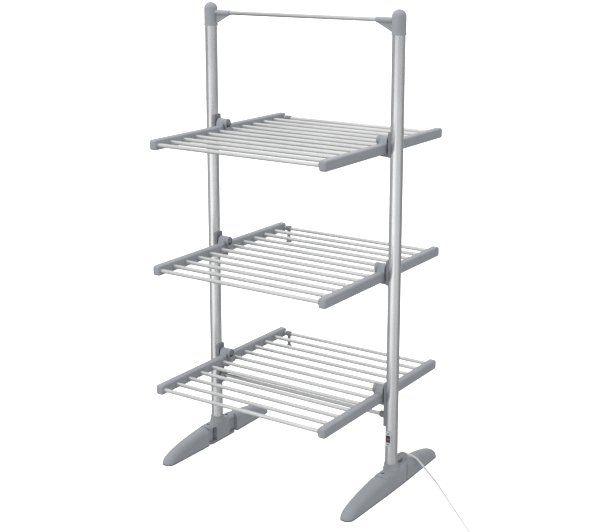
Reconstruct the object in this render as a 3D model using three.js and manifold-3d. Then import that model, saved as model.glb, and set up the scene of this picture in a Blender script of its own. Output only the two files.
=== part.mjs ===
// A heated clothes airer: two posts on folding feet, with three tiers of hinged wings that hold 36 heated bars.
// Sizes are in millimetres. x runs from left to right, y from front to back and z upwards from the floor.
import * as THREE from 'three';
import { mergeVertices } from 'three/addons/utils/BufferGeometryUtils.js';
import Module from 'manifold-3d';

// Fits between pieces, and the faces of round shapes
const seatGap = 0.3;
const turningGap = 0.5;
const swingGap = 1;
const floorGap = 0.2;
const cutOverrun = 5;
const weldDistance = 0.001;
const postSides = 20;
const hubSides = 16;
const pinSides = 10;
const barSides = 8;
const knuckleSides = 14;
const cornerSteps = 1;
const shoulderSteps = 2;
const domeSteps = 3;

// Posts and their spacing
const overallHeight = 1430;
const postSpacing = 660;
const postRadius = 19;
const postWall = 1.5;

// Heights of the bars across the posts and of the middle of each tier's arms
const topBarDrop = 31;
const topTierHeight = 1036;
const middleTierHeight = 658;
const bottomTierHeight = 282;
const crossbarDrop = 56;

// Post caps
const capWall = 1.2;
const capLength = 71;
const capCrown = 10;
const capDome = 12;
const capLip = 0.7;
const capLipHeight = 5;
const socketWall = 1.5;
const socketReach = 73;
const gussetThickness = 3;

// Bars and tubes
const barRadius = 6;
const barWall = 1;
const barPitch = 58.6;
const barsPerWing = 6;
const heatingCableRadius = 2;

// Arms
const armWidth = 25;
const armHeight = 31;
const armWall = 2.5;
const armTip = 12.7;
const armEdge = 3;
const armTipRadius = 6;
const rootGap = 0.5;
const bossWall = 2;
const bossHeight = 3;
const barInsert = 5;

// Hinges of the wings
const pivotRise = 23.8;
const knuckleRadius = 13.5;
const pinRadius = 5;
const pinHeadRadius = 8;
const pinHead = 2;
const spacerLength = 3;
const lugLength = 10.5;
const lugReach = 20;
const webReach = 30;
const webLeanDegrees = 49;

// Hinge brackets
const bracketWall = 2.5;
const bracketDepth = 14.8;
const bracketAbove = 50;
const bracketEdge = 2;
const ledgeThickness = 8.7;
const ledgeHalfWidth = 7.5;
const ledgeReach = 29;
const ledgeCorner = 3;
const crossbarSocketRadius = 10;
const crossbarSocketLength = 17.5;
const bracketTail = 31;

// Feet
const footLength = 544;
const footHalfWidth = 25;
const footHeight = 61;
const footEdge = 12;
const legTipRadius = 21;
const legTipHeight = 8;
const legFullness = 1.3;
const legRoundness = 2.7;
const legStations = 9;
const legPinOffset = 50;
const legPinRadius = 4;
const legPinSink = 6;
const legBarrelRadius = 15;
const legNeckHalfWidth = 13;
const legNeckReach = 15;
const hubOuterWall = 3;
const hubFloor = 6;
const hubRoof = 8;
const postSeat = 10;
const collarTop = 78;
const collarWall = 2.2;
const collarFlare = 3.4;
const pocketDepth = 12;
const pocketRib = 3;
const pocketRim = 6;
const pocketCount = 3;

// Storage clips
const clipWidth = 18;
const clipWall = 2.4;
const clipStrapWidth = 12;
const clipStrap = 3.4;
const clipInset = 60;
const clipMouthOverhang = 2.5;

// Switch
const switchDrop = 11;
const plateWidth = 20;
const plateLength = 48;
const plateFront = 3;
const plateEdge = 1;
const switchHalfWidth = 7.2;
const switchHalfHeight = 10.7;
const switchWall = 1.4;
const switchDepth = 20;
const rockerPivotDepth = 2.5;
const rockerHalfWidth = 5.4;
const rockerHalfHeight = 8.4;
const rockerRise = 3.6;
const rockerDip = 1.4;
const rockerBack = 5;
const rockerTiltDegrees = 7;
const trunnionRadius = 1.5;

// Lead, its relief and its plug
const leadRadius = 3;
const leadSides = 8;
const leadSteps = 42;
const reliefLift = 0.5;
const reliefLength = 34;
const reliefFlange = 6.5;
const reliefFlangeThickness = 3;
const reliefRoot = 5.6;
const reliefTip = 4.2;
const coilTurnGap = 1.5;
const coilInnerRadius = 26;
const coilLowerTurns = 2;
const coilClimbTurns = 0.5;
const coilUpperTurns = 1.78;
const coilSides = 6;
const coilStepsPerTurn = 24;
const coilTail = 14;
const plugSleeve = 28;
const plugSleeveRoot = 6;
const plugLength = 44;
const plugHalfWidth = 23;
const plugNeckHalfWidth = 11;
const plugEdge = 3;
const plugPinLength = 19;
const plugPinWidth = 6.4;
const plugPinThickness = 4;
const plugEarthPinWidth = 8;
const plugPinSpread = 11;
const plugEarthOffset = 22;
const plugLivePinOffset = 13;

// Places worked out from the sizes
const postX = postSpacing / 2;
const topBarHeight = overallHeight - topBarDrop;
const crossbarHeight = bottomTierHeight - crossbarDrop;
const switchHeight = crossbarHeight - bracketTail - switchDrop - plateLength / 2;
const postBore = postRadius + seatGap;
const bracketFace = postRadius + bracketWall;
const armOuter = bracketFace + swingGap + spacerLength;
const armInner = armOuter + armWidth;
const armHalf = armHeight / 2;
const bossRadius = barRadius + seatGap + bossWall;
const barBore = barRadius + seatGap;
const barEnd = armInner - armWall - barInsert;
const firstBar = barPitch / 2;
const lastBar = firstBar + (barsPerWing - 1) * barPitch;
const armEnd = lastBar + armTip;
const lugStart = armInner + turningGap;
const lugEnd = lugStart + lugLength;
const pinBore = (pinRadius + seatGap) / Math.cos(Math.PI / pinSides);
const coilPitch = 2 * leadRadius + coilTurnGap;
const coilOuterRadius = coilInnerRadius + coilLowerTurns * coilPitch;
const reliefHeight = collarTop + reliefFlange + reliefLift;
const leadOnFloor = leadRadius + floorGap;
const plugHeight = 2 * (leadOnFloor + coilPitch);
const legPivotGap = footHalfWidth + swingGap;
const hubHalfBlock = legPinOffset - legBarrelRadius - swingGap;
const legLength = footLength / 2 - legPinOffset;
const X = new THREE.Vector3(1, 0, 0);
const Y = new THREE.Vector3(0, 1, 0);
const Z = new THREE.Vector3(0, 0, 1);

const wasm = await Module();
wasm.setup();

// Solids and pieces

function solid(geometry) {
  const bare = geometry.clone();
  bare.deleteAttribute('normal');
  bare.deleteAttribute('uv');
  const merged = mergeVertices(bare, weldDistance);
  const mesh = new wasm.Mesh({
    numProp: 3,
    vertProperties: new Float32Array(merged.attributes.position.array),
    triVerts: new Uint32Array(merged.index.array),
  });
  return new wasm.Manifold(mesh);
}

function geometryOf(body) {
  const { vertProperties, triVerts } = body.getMesh();
  const geometry = new THREE.BufferGeometry();
  geometry.setAttribute('position', new THREE.BufferAttribute(new Float32Array(vertProperties), 3));
  geometry.setIndex(new THREE.BufferAttribute(new Uint32Array(triVerts), 1));
  return geometry;
}

function union(...bodies) {
  return bodies.reduce((whole, body) => whole.add(body));
}

function cut(body, ...tools) {
  return tools.reduce((rest, tool) => rest.subtract(tool), body);
}

// The same solid seen in a mirror, with its faces turned to point out again
function mirrored(body, x, y) {
  const geometry = geometryOf(body).scale(x, y, 1);
  const index = geometry.index.array;
  for (let i = 0; i < index.length; i += 3) {
    [index[i + 1], index[i + 2]] = [index[i + 2], index[i + 1]];
  }
  return solid(geometry);
}

const airer = new THREE.Group();

function addPiece(name, body, material) {
  const geometry = geometryOf(body).toNonIndexed();
  geometry.computeVertexNormals();
  const mesh = new THREE.Mesh(geometry, material.clone());
  mesh.name = name;
  airer.add(mesh);
}

// Adds a piece built for the left side, and its mirror image for the right side
function addPair(leftName, rightName, body, material) {
  addPiece(leftName, body, material);
  addPiece(rightName, mirrored(body, -1, 1), material);
}

// Shapes. On the left side x is measured inwards from the axis of the post by the function inward.

function inward(inset) {
  return inset - postX;
}

function outline(points) {
  return new THREE.Shape(points.map(([a, b]) => new THREE.Vector2(a, b)));
}

function rectangle(a0, a1, b0, b1, radius = 0) {
  const shape = new THREE.Shape();
  if (radius === 0) {
    return outline([[a0, b0], [a1, b0], [a1, b1], [a0, b1]]);
  }
  const quarter = Math.PI / 2;
  shape.absarc(a0 + radius, b0 + radius, radius, -2 * quarter, -quarter);
  shape.absarc(a1 - radius, b0 + radius, radius, -quarter, 0);
  shape.absarc(a1 - radius, b1 - radius, radius, 0, quarter);
  shape.absarc(a0 + radius, b1 - radius, radius, quarter, 2 * quarter);
  return shape;
}

// Draws an outline out from one place to another, with its edges taken off by the bevel
function drawnOut(shape, from, to, bevel, along, across, up) {
  const geometry = new THREE.ExtrudeGeometry(shape, {
    depth: to - from - 2 * bevel,
    steps: 1,
    curveSegments: cornerSteps,
    bevelEnabled: bevel > 0,
    bevelThickness: bevel,
    bevelSize: bevel,
    bevelOffset: -bevel,
    bevelSegments: 1,
  });
  const turn = new THREE.Matrix4().makeBasis(across, up, along);
  const start = along.clone().multiplyScalar(from + bevel);
  return solid(geometry.applyMatrix4(turn).translate(start.x, start.y, start.z));
}

// An outline in y and z drawn out along x
function alongX(shape, from, to, bevel = 0) {
  return drawnOut(shape, from, to, bevel, X, Y, Z);
}

// An outline in z and x drawn out along y
function alongY(shape, from, to, bevel = 0) {
  return drawnOut(shape, from, to, bevel, Y, Z, X);
}

// An outline in x and y drawn out along z
function alongZ(shape, from, to, bevel = 0) {
  return drawnOut(shape, from, to, bevel, Z, X, Y);
}

function box(x0, x1, y0, y1, z0, z1) {
  return alongZ(rectangle(x0, x1, y0, y1), z0, z1);
}

// A round rod from one place to another along an axis, through a point in the other two directions
function rod(axis, radius, from, to, centre, sides) {
  const geometry = new THREE.CylinderGeometry(radius, radius, to - from, sides);
  const turn = new THREE.Quaternion().setFromUnitVectors(Y, axis);
  const middle = centre.clone().addScaledVector(axis, (from + to) / 2);
  return solid(geometry.applyQuaternion(turn).translate(middle.x, middle.y, middle.z));
}

function rodX(radius, from, to, y, z, sides) {
  return rod(X, radius, from, to, new THREE.Vector3(0, y, z), sides);
}

function rodY(radius, from, to, x, z, sides) {
  return rod(Y, radius, from, to, new THREE.Vector3(x, 0, z), sides);
}

function rodZ(radius, from, to, x, y, sides) {
  return rod(Z, radius, from, to, new THREE.Vector3(x, y, 0), sides);
}

// A profile of radius and distance turned round an axis that starts at a point
function turned(profile, axis, start, sides) {
  const points = profile.map(([radius, distance]) => new THREE.Vector2(radius, distance));
  const geometry = new THREE.LatheGeometry(points, sides);
  const turn = new THREE.Quaternion().setFromUnitVectors(Y, axis);
  return solid(geometry.applyQuaternion(turn).translate(start.x, start.y, start.z));
}

// A solid through rings of equally many points, closed by a flat face at each end
function lofted(rings) {
  const count = rings[0].length;
  const positions = rings.flat().flatMap((point) => [point.x, point.y, point.z]);
  const faces = [];
  for (let ring = 0; ring + 1 < rings.length; ring += 1) {
    for (let i = 0; i < count; i += 1) {
      const a = ring * count + i;
      const b = ring * count + ((i + 1) % count);
      faces.push(a, b + count, b, a, a + count, b + count);
    }
  }
  const last = (rings.length - 1) * count;
  for (let i = 1; i + 1 < count; i += 1) {
    faces.push(0, i, i + 1, last, last + i + 1, last + i);
  }
  const geometry = new THREE.BufferGeometry();
  geometry.setAttribute('position', new THREE.Float32BufferAttribute(positions, 3));
  geometry.setIndex(faces);
  return solid(geometry);
}

// Materials

function finish(color, roughness, metalness) {
  return new THREE.MeshStandardMaterial({ color, roughness, metalness, flatShading: true });
}

const aluminium = finish(0xc4c5c8, 0.3, 1);
const satinAluminium = finish(0xd9d9d8, 0.4, 1);
const greyPlastic = finish(0x8a8e94, 0.5, 0);
const darkPlastic = finish(0x5b5e63, 0.55, 0);
const steel = finish(0x9a9ca0, 0.35, 1);
const palePlastic = finish(0xcfd3d6, 0.45, 0);
const redPlastic = finish(0x6e1f2a, 0.35, 0);
const whitePlastic = finish(0xf0f0ee, 0.5, 0);

// Posts, caps and the bars across them

function tube(radius, wall, from, to, y, z, sides) {
  const inside = rodX(radius - wall, from - cutOverrun, to + cutOverrun, y, z, sides);
  return cut(rodX(radius, from, to, y, z, sides), inside);
}

function post() {
  const top = overallHeight - capCrown - seatGap;
  const foot = postSeat + seatGap;
  const whole = rodZ(postRadius, foot, top, -postX, 0, postSides);
  const inside = rodZ(postRadius - postWall, foot - cutOverrun, top + cutOverrun, -postX, 0, postSides);
  return cut(whole, inside);
}

function postCap() {
  const outer = postBore + capWall;
  const bottom = overallHeight - capLength;
  const shoulder = capLength - capDome;
  const inside = capLength - capCrown;
  const dome = [];
  for (let step = 0; step <= domeSteps; step += 1) {
    const angle = (step / domeSteps) * (Math.PI / 2);
    dome.push([outer * Math.cos(angle), shoulder + capDome * Math.sin(angle)]);
  }
  dome[domeSteps][0] = 0;
  const lip = [[outer + capLip, 0], [outer + capLip, capLipHeight], [outer, capLipHeight + capLip]];
  const profile = [[0, inside], [postBore, inside], [postBore, 0], ...lip, ...dome, [0, inside]];
  const shell = turned(profile, Z, new THREE.Vector3(-postX, 0, bottom), postSides);
  const socketRadius = barRadius + seatGap + socketWall;
  const socket = rodX(socketRadius, inward(postBore + capWall / 2), inward(socketReach), 0, topBarHeight, pinSides);
  const gusset = alongY(
    outline([
      [topBarHeight, inward(postBore + capWall / 2)],
      [topBarHeight, inward(socketReach - bossWall)],
      [topBarHeight - socketRadius, inward(socketReach - bossWall)],
      [bottom + capLipHeight, inward(postBore + capWall / 2)],
    ]),
    -gussetThickness / 2,
    gussetThickness / 2,
  );
  const bore = rodX(barBore, inward(armOuter - seatGap), inward(socketReach + cutOverrun), 0, topBarHeight, pinSides);
  return cut(union(shell, socket, gusset), bore);
}

function topBar() {
  return tube(barRadius, barWall, inward(armOuter), -inward(armOuter), 0, topBarHeight, pinSides);
}

function lowerCrossbar() {
  const end = bracketFace + bracketWall + seatGap;
  return tube(barRadius, barWall, inward(end), -inward(end), 0, crossbarHeight, pinSides);
}

// Hinge brackets and pins, for an arm whose middle is at a height

function hingeBracket(height, bottom) {
  const top = height + bracketAbove;
  const front = postRadius + seatGap / 2;
  const saddle = alongZ(
    rectangle(inward(bracketFace - bracketDepth), inward(bracketFace), -front, front),
    bottom,
    top,
    bracketEdge,
  );
  const ledgeTop = height - armHalf - seatGap;
  const ledge = alongZ(
    rectangle(
      inward(bracketFace - bracketWall),
      inward(bracketFace + ledgeReach),
      -ledgeHalfWidth,
      ledgeHalfWidth,
      ledgeCorner,
    ),
    ledgeTop - ledgeThickness,
    ledgeTop,
  );
  const postHole = rodZ(postBore, bottom - cutOverrun, top + cutOverrun, -postX, 0, postSides);
  const pinHole = rodX(pinBore, inward(0), inward(bracketFace + cutOverrun), 0, height + pivotRise, pinSides);
  return cut(union(saddle, ledge), postHole, pinHole);
}

function bottomBracket() {
  const plain = hingeBracket(bottomTierHeight, crossbarHeight - bracketTail);
  const socketEnd = bracketFace + crossbarSocketLength;
  const start = bracketFace - bracketWall / 2;
  const socket = rodX(crossbarSocketRadius, inward(start), inward(socketEnd), 0, crossbarHeight, pinSides);
  const boreStart = inward(bracketFace + bracketWall);
  const bore = rodX(barBore, boreStart, inward(socketEnd + cutOverrun), 0, crossbarHeight, pinSides);
  return cut(union(plain, socket), bore);
}

function hingePin(height) {
  const z = height + pivotRise;
  const shank = rodX(pinRadius, inward(postBore), inward(lugEnd + seatGap + pinHead / 2), 0, z, pinSides);
  const head = rodX(pinHeadRadius, inward(lugEnd + seatGap), inward(lugEnd + seatGap + pinHead), 0, z, pinSides);
  return union(shank, head);
}

// Arms: end is -1 for a front wing and 1 for a back wing

function armBeam(height, end) {
  const y0 = end * rootGap;
  const y1 = end * armEnd;
  const side = rectangle(Math.min(y0, y1), Math.max(y0, y1), height - armHalf, height + armHalf, armTipRadius);
  return alongX(side, inward(armOuter), inward(armInner), armEdge);
}

// The front arm's knuckle is as wide as the arm, with a spacer against the bracket
function frontKnuckle(height) {
  const pivot = height + pivotRise;
  const lean = THREE.MathUtils.degToRad(webLeanDegrees);
  const barrel = rodX(knuckleRadius, inward(armOuter - spacerLength), inward(armInner), 0, pivot, knuckleSides);
  const webTop = [-knuckleRadius * Math.cos(lean), pivot + knuckleRadius * Math.sin(lean)];
  const web = outline([
    [-webReach, height + armHalf - armEdge],
    [-rootGap, height + armHalf - armEdge],
    [0, pivot],
    webTop,
  ]);
  const root = rectangle(-webReach, -rootGap, height - armHalf, height + armHalf);
  return union(barrel, alongX(web, inward(armOuter), inward(armInner)), alongX(root, inward(armOuter), inward(armInner)));
}

// The back arm's lug stands on its inner side, beside the front arm's knuckle
function backLug(height) {
  const pivot = height + pivotRise;
  const lean = THREE.MathUtils.degToRad(webLeanDegrees);
  const foot = height - armHalf + armEdge;
  const barrel = rodX(knuckleRadius, inward(lugStart), inward(lugEnd), 0, pivot, knuckleSides);
  const web = outline([
    [rootGap, foot],
    [lugReach, foot],
    [lugReach, height + armHalf / 2],
    [knuckleRadius * Math.cos(lean), pivot + knuckleRadius * Math.sin(lean)],
    [0, pivot],
    [-knuckleRadius * Math.sin(lean), pivot - knuckleRadius * Math.cos(lean)],
  ]);
  return union(barrel, alongX(web, inward(lugStart), inward(lugEnd)));
}

function backRoot(height) {
  const pivot = height + pivotRise;
  const root = rectangle(rootGap, lugReach, height - armHalf, height + armHalf);
  const cheek = rectangle(rootGap, lugReach, height - armHalf + armEdge, height + armHalf / 2);
  const blocks = union(
    alongX(root, inward(armOuter), inward(armInner)),
    alongX(cheek, inward(armInner - armWall), inward(lugStart + turningGap)),
  );
  return { blocks, notch: rodX(knuckleRadius + 2 * turningGap, inward(0), inward(lugStart), 0, pivot, knuckleSides) };
}

function arm(height, end) {
  let body = armBeam(height, end);
  if (end < 0) {
    body = union(body, frontKnuckle(height));
  } else {
    const { blocks, notch } = backRoot(height);
    body = union(cut(union(body, blocks), notch), backLug(height));
  }
  const channelStart = end * (firstBar - barRadius - armWall);
  const channelEnd = end * (armEnd - armWall - armEdge);
  const channel = box(
    inward(armOuter + armWall),
    inward(armInner - armWall),
    Math.min(channelStart, channelEnd),
    Math.max(channelStart, channelEnd),
    height - armHalf + armWall + armEdge,
    height + armHalf - armWall - armEdge,
  );
  body = cut(body, channel);
  for (let bar = 0; bar < barsPerWing; bar += 1) {
    const y = end * (firstBar + bar * barPitch);
    const boss = rodX(bossRadius, inward(armInner - armWall / 2), inward(armInner + bossHeight), y, height, barSides);
    body = union(body, boss);
  }
  for (let bar = 0; bar < barsPerWing; bar += 1) {
    const y = end * (firstBar + bar * barPitch);
    body = cut(body, rodX(barBore, inward(barEnd), inward(armInner + bossHeight + cutOverrun), y, height, barSides));
  }
  const pinHole = rodX(pinBore, inward(0), inward(lugEnd + cutOverrun), 0, height + pivotRise, pinSides);
  return cut(body, pinHole);
}

// The bars of a wing, joined in series by the heating cable that runs from tube to tube inside the arms
function wingBars(height, end) {
  const bars = [];
  for (let bar = 0; bar < barsPerWing; bar += 1) {
    const y = end * (firstBar + bar * barPitch);
    bars.push(rodX(barRadius, inward(barEnd), -inward(barEnd), y, height, barSides));
    if (bar > 0) {
      const before = y - end * barPitch;
      const side = bar % 2 === 1 ? 1 : -1;
      const x = side * inward(barEnd + barInsert / 2);
      bars.push(rodY(heatingCableRadius, Math.min(y, before), Math.max(y, before), x, height, coilSides));
    }
  }
  return union(...bars);
}

// A clip hangs from the rearmost bar; its open fork takes the front wing's outer bar when both wings are up
function storageClip(height) {
  const span = 2 * pivotRise;
  const x0 = inward(clipInset);
  const x1 = inward(clipInset + clipWidth);
  const strap0 = (x0 + x1 - clipStrapWidth) / 2;
  const strap1 = strap0 + clipStrapWidth;
  const bore = (barRadius + seatGap) / Math.cos(Math.PI / pinSides);
  const ring = rodX(bore + clipWall, x0, x1, lastBar, height, pinSides);
  const forkRadius = bore + clipWall;
  const fork = rodX(forkRadius, strap0, strap1, lastBar, height - span, pinSides);
  const strap = box(strap0, strap1, lastBar - clipStrap / 2, lastBar + clipStrap / 2, height - span, height);
  const holes = [
    rodX(bore, x0 - cutOverrun, x1 + cutOverrun, lastBar, height, pinSides),
    rodX(bore, x0 - cutOverrun, x1 + cutOverrun, lastBar, height - span, pinSides),
  ];
  const mouthTop = height - span - clipMouthOverhang;
  const mouth = box(x0, x1, lastBar - forkRadius, lastBar + forkRadius, mouthTop - forkRadius, mouthTop);
  return cut(union(ring, fork, strap), ...holes, mouth);
}

// Feet

// A cross-section of a foot with a flat bottom and rounded shoulders, at a place along y
function footSection(y, halfWidth, height) {
  const radius = Math.min(footEdge, halfWidth, height);
  const points = [[-halfWidth, 0]];
  for (let step = 0; step <= 2 * shoulderSteps + 1; step += 1) {
    const right = step > shoulderSteps;
    const turn = right ? step - 1 : step;
    const angle = Math.PI - (turn / (2 * shoulderSteps)) * Math.PI;
    const centre = (right ? 1 : -1) * (halfWidth - radius);
    points.push([centre + radius * Math.cos(angle), height - radius + radius * Math.sin(angle)]);
  }
  points.push([halfWidth, 0]);
  return points.map(([x, z]) => new THREE.Vector3(x - postX, y, z));
}

function legHalfWidth(along) {
  const straight = legLength - legTipRadius;
  if (along <= straight) {
    return footHalfWidth + ((legTipRadius - footHalfWidth) * along) / straight;
  }
  return Math.sqrt(Math.max(legTipRadius ** 2 - (along - straight) ** 2, 0));
}

function legHeight(along) {
  const share = along / legLength;
  const height = footHeight * (1 - share ** legFullness) ** (1 / legRoundness);
  return Math.max(height, legTipHeight);
}

function legBody() {
  const rings = [];
  const lastShare = 0.997;
  for (let station = 0; station <= legStations; station += 1) {
    const along = legLength * lastShare * Math.sin((station / legStations) * (Math.PI / 2));
    rings.push(footSection(-legPinOffset - along, legHalfWidth(along), legHeight(along)));
  }
  return lofted(rings);
}

// The left front leg; its inner side is cut back at the root, so that it can fold in beside the hub
function leg() {
  const pinY = -legPinOffset;
  const neckBottom = hubFloor + turningGap;
  const neckTop = footHeight - hubRoof - turningGap;
  const neckEnd = pinY - legPivotGap - legNeckReach;
  const overhead = footHeight + cutOverrun;
  const roundEnd = rodZ(legPivotGap, -cutOverrun, overhead, -postX, pinY, postSides);
  const innerGap = box(
    inward(0),
    inward(footHalfWidth + cutOverrun),
    pinY - legPivotGap,
    pinY + cutOverrun,
    -cutOverrun,
    overhead,
  );
  const neck = box(inward(-legNeckHalfWidth), inward(legNeckHalfWidth), neckEnd, pinY, neckBottom, neckTop);
  const barrel = rodZ(legBarrelRadius, neckBottom, neckTop, -postX, pinY, pinSides);
  const pinHole = rodZ(legPinBore(), -cutOverrun, overhead, -postX, pinY, pinSides);
  const pockets = [];
  const first = legPivotGap + legNeckReach + pocketRib;
  const pitch = (legLength - legTipRadius - pocketRim - first) / pocketCount;
  for (let pocket = 0; pocket < pocketCount; pocket += 1) {
    const near = first + pocket * pitch;
    const far = near + pitch - pocketRib;
    const half = legHalfWidth(far) - pocketRim;
    pockets.push(box(inward(-half), inward(half), pinY - far, pinY - near, -cutOverrun, pocketDepth));
  }
  const shell = cut(legBody(), roundEnd, innerGap, ...pockets);
  return cut(union(shell, neck, barrel), pinHole);
}

function legPinBore() {
  return (legPinRadius + seatGap) / Math.cos(Math.PI / pinSides);
}

function legPin() {
  const top = footHeight - legPinSink;
  return rodZ(legPinRadius, hubFloor / 2 + seatGap, top, -postX, -legPinOffset, pinSides);
}

// The space in the hub in which a leg's barrel and neck turn
function hubPocket(end) {
  const pinY = end * legPinOffset;
  const bottom = hubFloor;
  const top = footHeight - hubRoof;
  const round = rodZ(footHalfWidth - hubOuterWall, bottom, top, -postX, pinY, hubSides);
  const far = end * (legPinOffset + legPivotGap);
  const near = end * hubHalfBlock;
  const y0 = Math.min(far, near);
  const y1 = Math.max(far, near);
  const open = box(inward(-legNeckHalfWidth - swingGap), inward(footHalfWidth + swingGap), y0, y1, bottom, top);
  const keep = box(inward(-footHalfWidth), inward(footHalfWidth + swingGap), y0, y1, 0, footHeight);
  return union(round, open).intersect(keep);
}

function footHub() {
  const reach = legPinOffset + footHalfWidth;
  const section = footSection(0, footHalfWidth, footHeight).map((point) => [point.z, point.x]);
  const bar = alongY(outline(section), -reach, reach);
  const plan = new THREE.Shape();
  plan.absarc(-postX, legPinOffset, footHalfWidth, 0, Math.PI);
  plan.absarc(-postX, -legPinOffset, footHalfWidth, Math.PI, 2 * Math.PI);
  const rounded = solid(
    new THREE.ExtrudeGeometry(plan, { depth: footHeight, bevelEnabled: false, curveSegments: hubSides / 2 }),
  );
  const collarRadius = postBore + collarWall;
  const shoulder = footHeight - footEdge / 2;
  const collar = turned(
    [
      [0, 0],
      [collarRadius + collarFlare, 0],
      [collarRadius + collarFlare / 2, (collarTop - shoulder) / 2],
      [collarRadius, collarTop - shoulder - collarFlare],
      [collarRadius, collarTop - shoulder],
      [0, collarTop - shoulder],
      [0, 0],
    ],
    Z,
    new THREE.Vector3(-postX, 0, shoulder),
    postSides,
  );
  const postHole = rodZ(postBore, postSeat, collarTop + cutOverrun, -postX, 0, postSides);
  const pinHoles = [-legPinOffset, legPinOffset].map((y) =>
    rodZ(legPinBore(), hubFloor / 2, footHeight + cutOverrun, -postX, y, pinSides),
  );
  return cut(union(bar.intersect(rounded), collar), postHole, hubPocket(-1), hubPocket(1), ...pinHoles);
}

// Switch, on the front of the right post

function switchPlate() {
  const front = -(postRadius + plateFront);
  const plan = rectangle(switchHeight - plateLength / 2, switchHeight + plateLength / 2, -plateWidth / 2, plateWidth / 2);
  const plate = alongY(plan, front, front + postRadius / 2, plateEdge);
  const window = box(
    -switchHalfWidth - seatGap,
    switchHalfWidth + seatGap,
    front - cutOverrun,
    0,
    switchHeight - switchHalfHeight - seatGap,
    switchHeight + switchHalfHeight + seatGap,
  );
  const postRod = rodZ(postBore, 0, 2 * switchHeight, 0, 0, postSides);
  return cut(plate, window, postRod).translate(postX, 0, 0);
}

function switchOpening() {
  const side = switchHalfWidth + seatGap;
  const bottom = switchHeight - switchHalfHeight - seatGap;
  const top = switchHeight + switchHalfHeight + seatGap;
  return box(postX - side, postX + side, -postRadius - cutOverrun, 0, bottom, top);
}

function switchBody() {
  const front = -(postRadius + plateFront) + seatGap;
  const pivotY = -(postRadius + plateFront) + rockerPivotDepth;
  const height = switchHeight;
  const block = box(
    postX - switchHalfWidth,
    postX + switchHalfWidth,
    front,
    front + switchDepth,
    height - switchHalfHeight,
    height + switchHalfHeight,
  );
  const cavityHalf = switchHalfWidth - switchWall;
  const cavity = box(
    postX - cavityHalf,
    postX + cavityHalf,
    front - cutOverrun,
    pivotY + rockerBack + swingGap,
    height - switchHalfHeight + swingGap,
    height + switchHalfHeight - swingGap,
  );
  const bearing = (trunnionRadius + seatGap) / Math.cos(Math.PI / barSides);
  const bearings = rodX(bearing, postX - 2 * switchHalfWidth, postX + 2 * switchHalfWidth, pivotY, height, barSides);
  return cut(block, cavity, bearings);
}

function rocker() {
  const pivotY = -(postRadius + plateFront) + rockerPivotDepth;
  const tilt = THREE.MathUtils.degToRad(rockerTiltDegrees);
  const waist = rockerHalfHeight / 3;
  const points = [
    [-rockerRise, rockerHalfHeight],
    [rockerDip - rockerRise, 0],
    [-rockerRise, -rockerHalfHeight],
    [0, -rockerHalfHeight],
    [rockerBack, -waist],
    [rockerBack, waist],
    [0, rockerHalfHeight],
  ].map(([y, z]) => [
    pivotY + y * Math.cos(tilt) - z * Math.sin(tilt),
    switchHeight + y * Math.sin(tilt) + z * Math.cos(tilt),
  ]);
  const body = alongX(outline(points), postX - rockerHalfWidth, postX + rockerHalfWidth);
  const trunnionReach = switchHalfWidth - seatGap;
  const trunnions = rodX(trunnionRadius, postX - trunnionReach, postX + trunnionReach, pivotY, switchHeight, barSides);
  return union(body, trunnions);
}

// Lead: the relief behind the right post, the free stretch over the foot and along the floor, and the stored coil

function leadRelief() {
  const start = new THREE.Vector3(postX, postRadius - cutOverrun, reliefHeight);
  const profile = [
    [0, 0],
    [reliefFlange, 0],
    [reliefFlange, cutOverrun + reliefFlangeThickness],
    [reliefRoot, cutOverrun + reliefFlangeThickness],
    [reliefTip, cutOverrun + reliefLength],
    [0, cutOverrun + reliefLength],
    [0, 0],
  ];
  const postRod = rodZ(postBore, 0, 2 * reliefHeight, postX, 0, postSides);
  return cut(turned(profile, Y, start, pinSides), postRod);
}

const leadExit = new THREE.Vector3(postX, postRadius + reliefLength + seatGap, reliefHeight);

// The points that the middle of the lead passes on its way from the relief to the coil
const leadRoute = [
  leadExit,
  new THREE.Vector3(330, 62.3, 84.2),
  new THREE.Vector3(331.2, 71.5, 81.5),
  new THREE.Vector3(333.6, 79.8, 77.8),
  new THREE.Vector3(336.9, 87.5, 73.6),
  new THREE.Vector3(341, 94.6, 69.3),
  new THREE.Vector3(345.7, 101.2, 64.7),
  new THREE.Vector3(350.8, 107.2, 59.7),
  new THREE.Vector3(355.7, 112.6, 53.8),
  new THREE.Vector3(360.3, 117, 46.9),
  new THREE.Vector3(365.2, 120.5, 39.6),
  new THREE.Vector3(370.9, 122.9, 32.3),
  new THREE.Vector3(377.4, 124.1, 25.4),
  new THREE.Vector3(384.8, 123.8, 19.1),
  new THREE.Vector3(392.9, 122.1, 13.9),
  new THREE.Vector3(401.2, 119, 9.7),
  new THREE.Vector3(409.5, 114.7, 6.7),
  new THREE.Vector3(417.6, 109.4, 4.7),
  new THREE.Vector3(425.4, 103.5, 3.7),
  new THREE.Vector3(432.9, 97, 3.2),
  new THREE.Vector3(447, 83.1, 3.2),
  new THREE.Vector3(460.6, 68.7, 3.2),
  new THREE.Vector3(495.5, 32.9, 3.2),
  new THREE.Vector3(530.3, -3, 3.2),
  new THREE.Vector3(565.2, -38.8, 3.2),
  new THREE.Vector3(600.1, -74.6, 3.2),
  new THREE.Vector3(635, -110.5, 3.2),
  new THREE.Vector3(669.8, -146.3, 3.2),
  new THREE.Vector3(704.7, -182.1, 3.2),
  new THREE.Vector3(742.1, -220.6, 3.2),
];

function coilStart() {
  return leadRoute[leadRoute.length - 1];
}

function coilHeading() {
  return coilStart().clone().sub(leadRoute[leadRoute.length - 2]).setZ(0).normalize();
}

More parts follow.
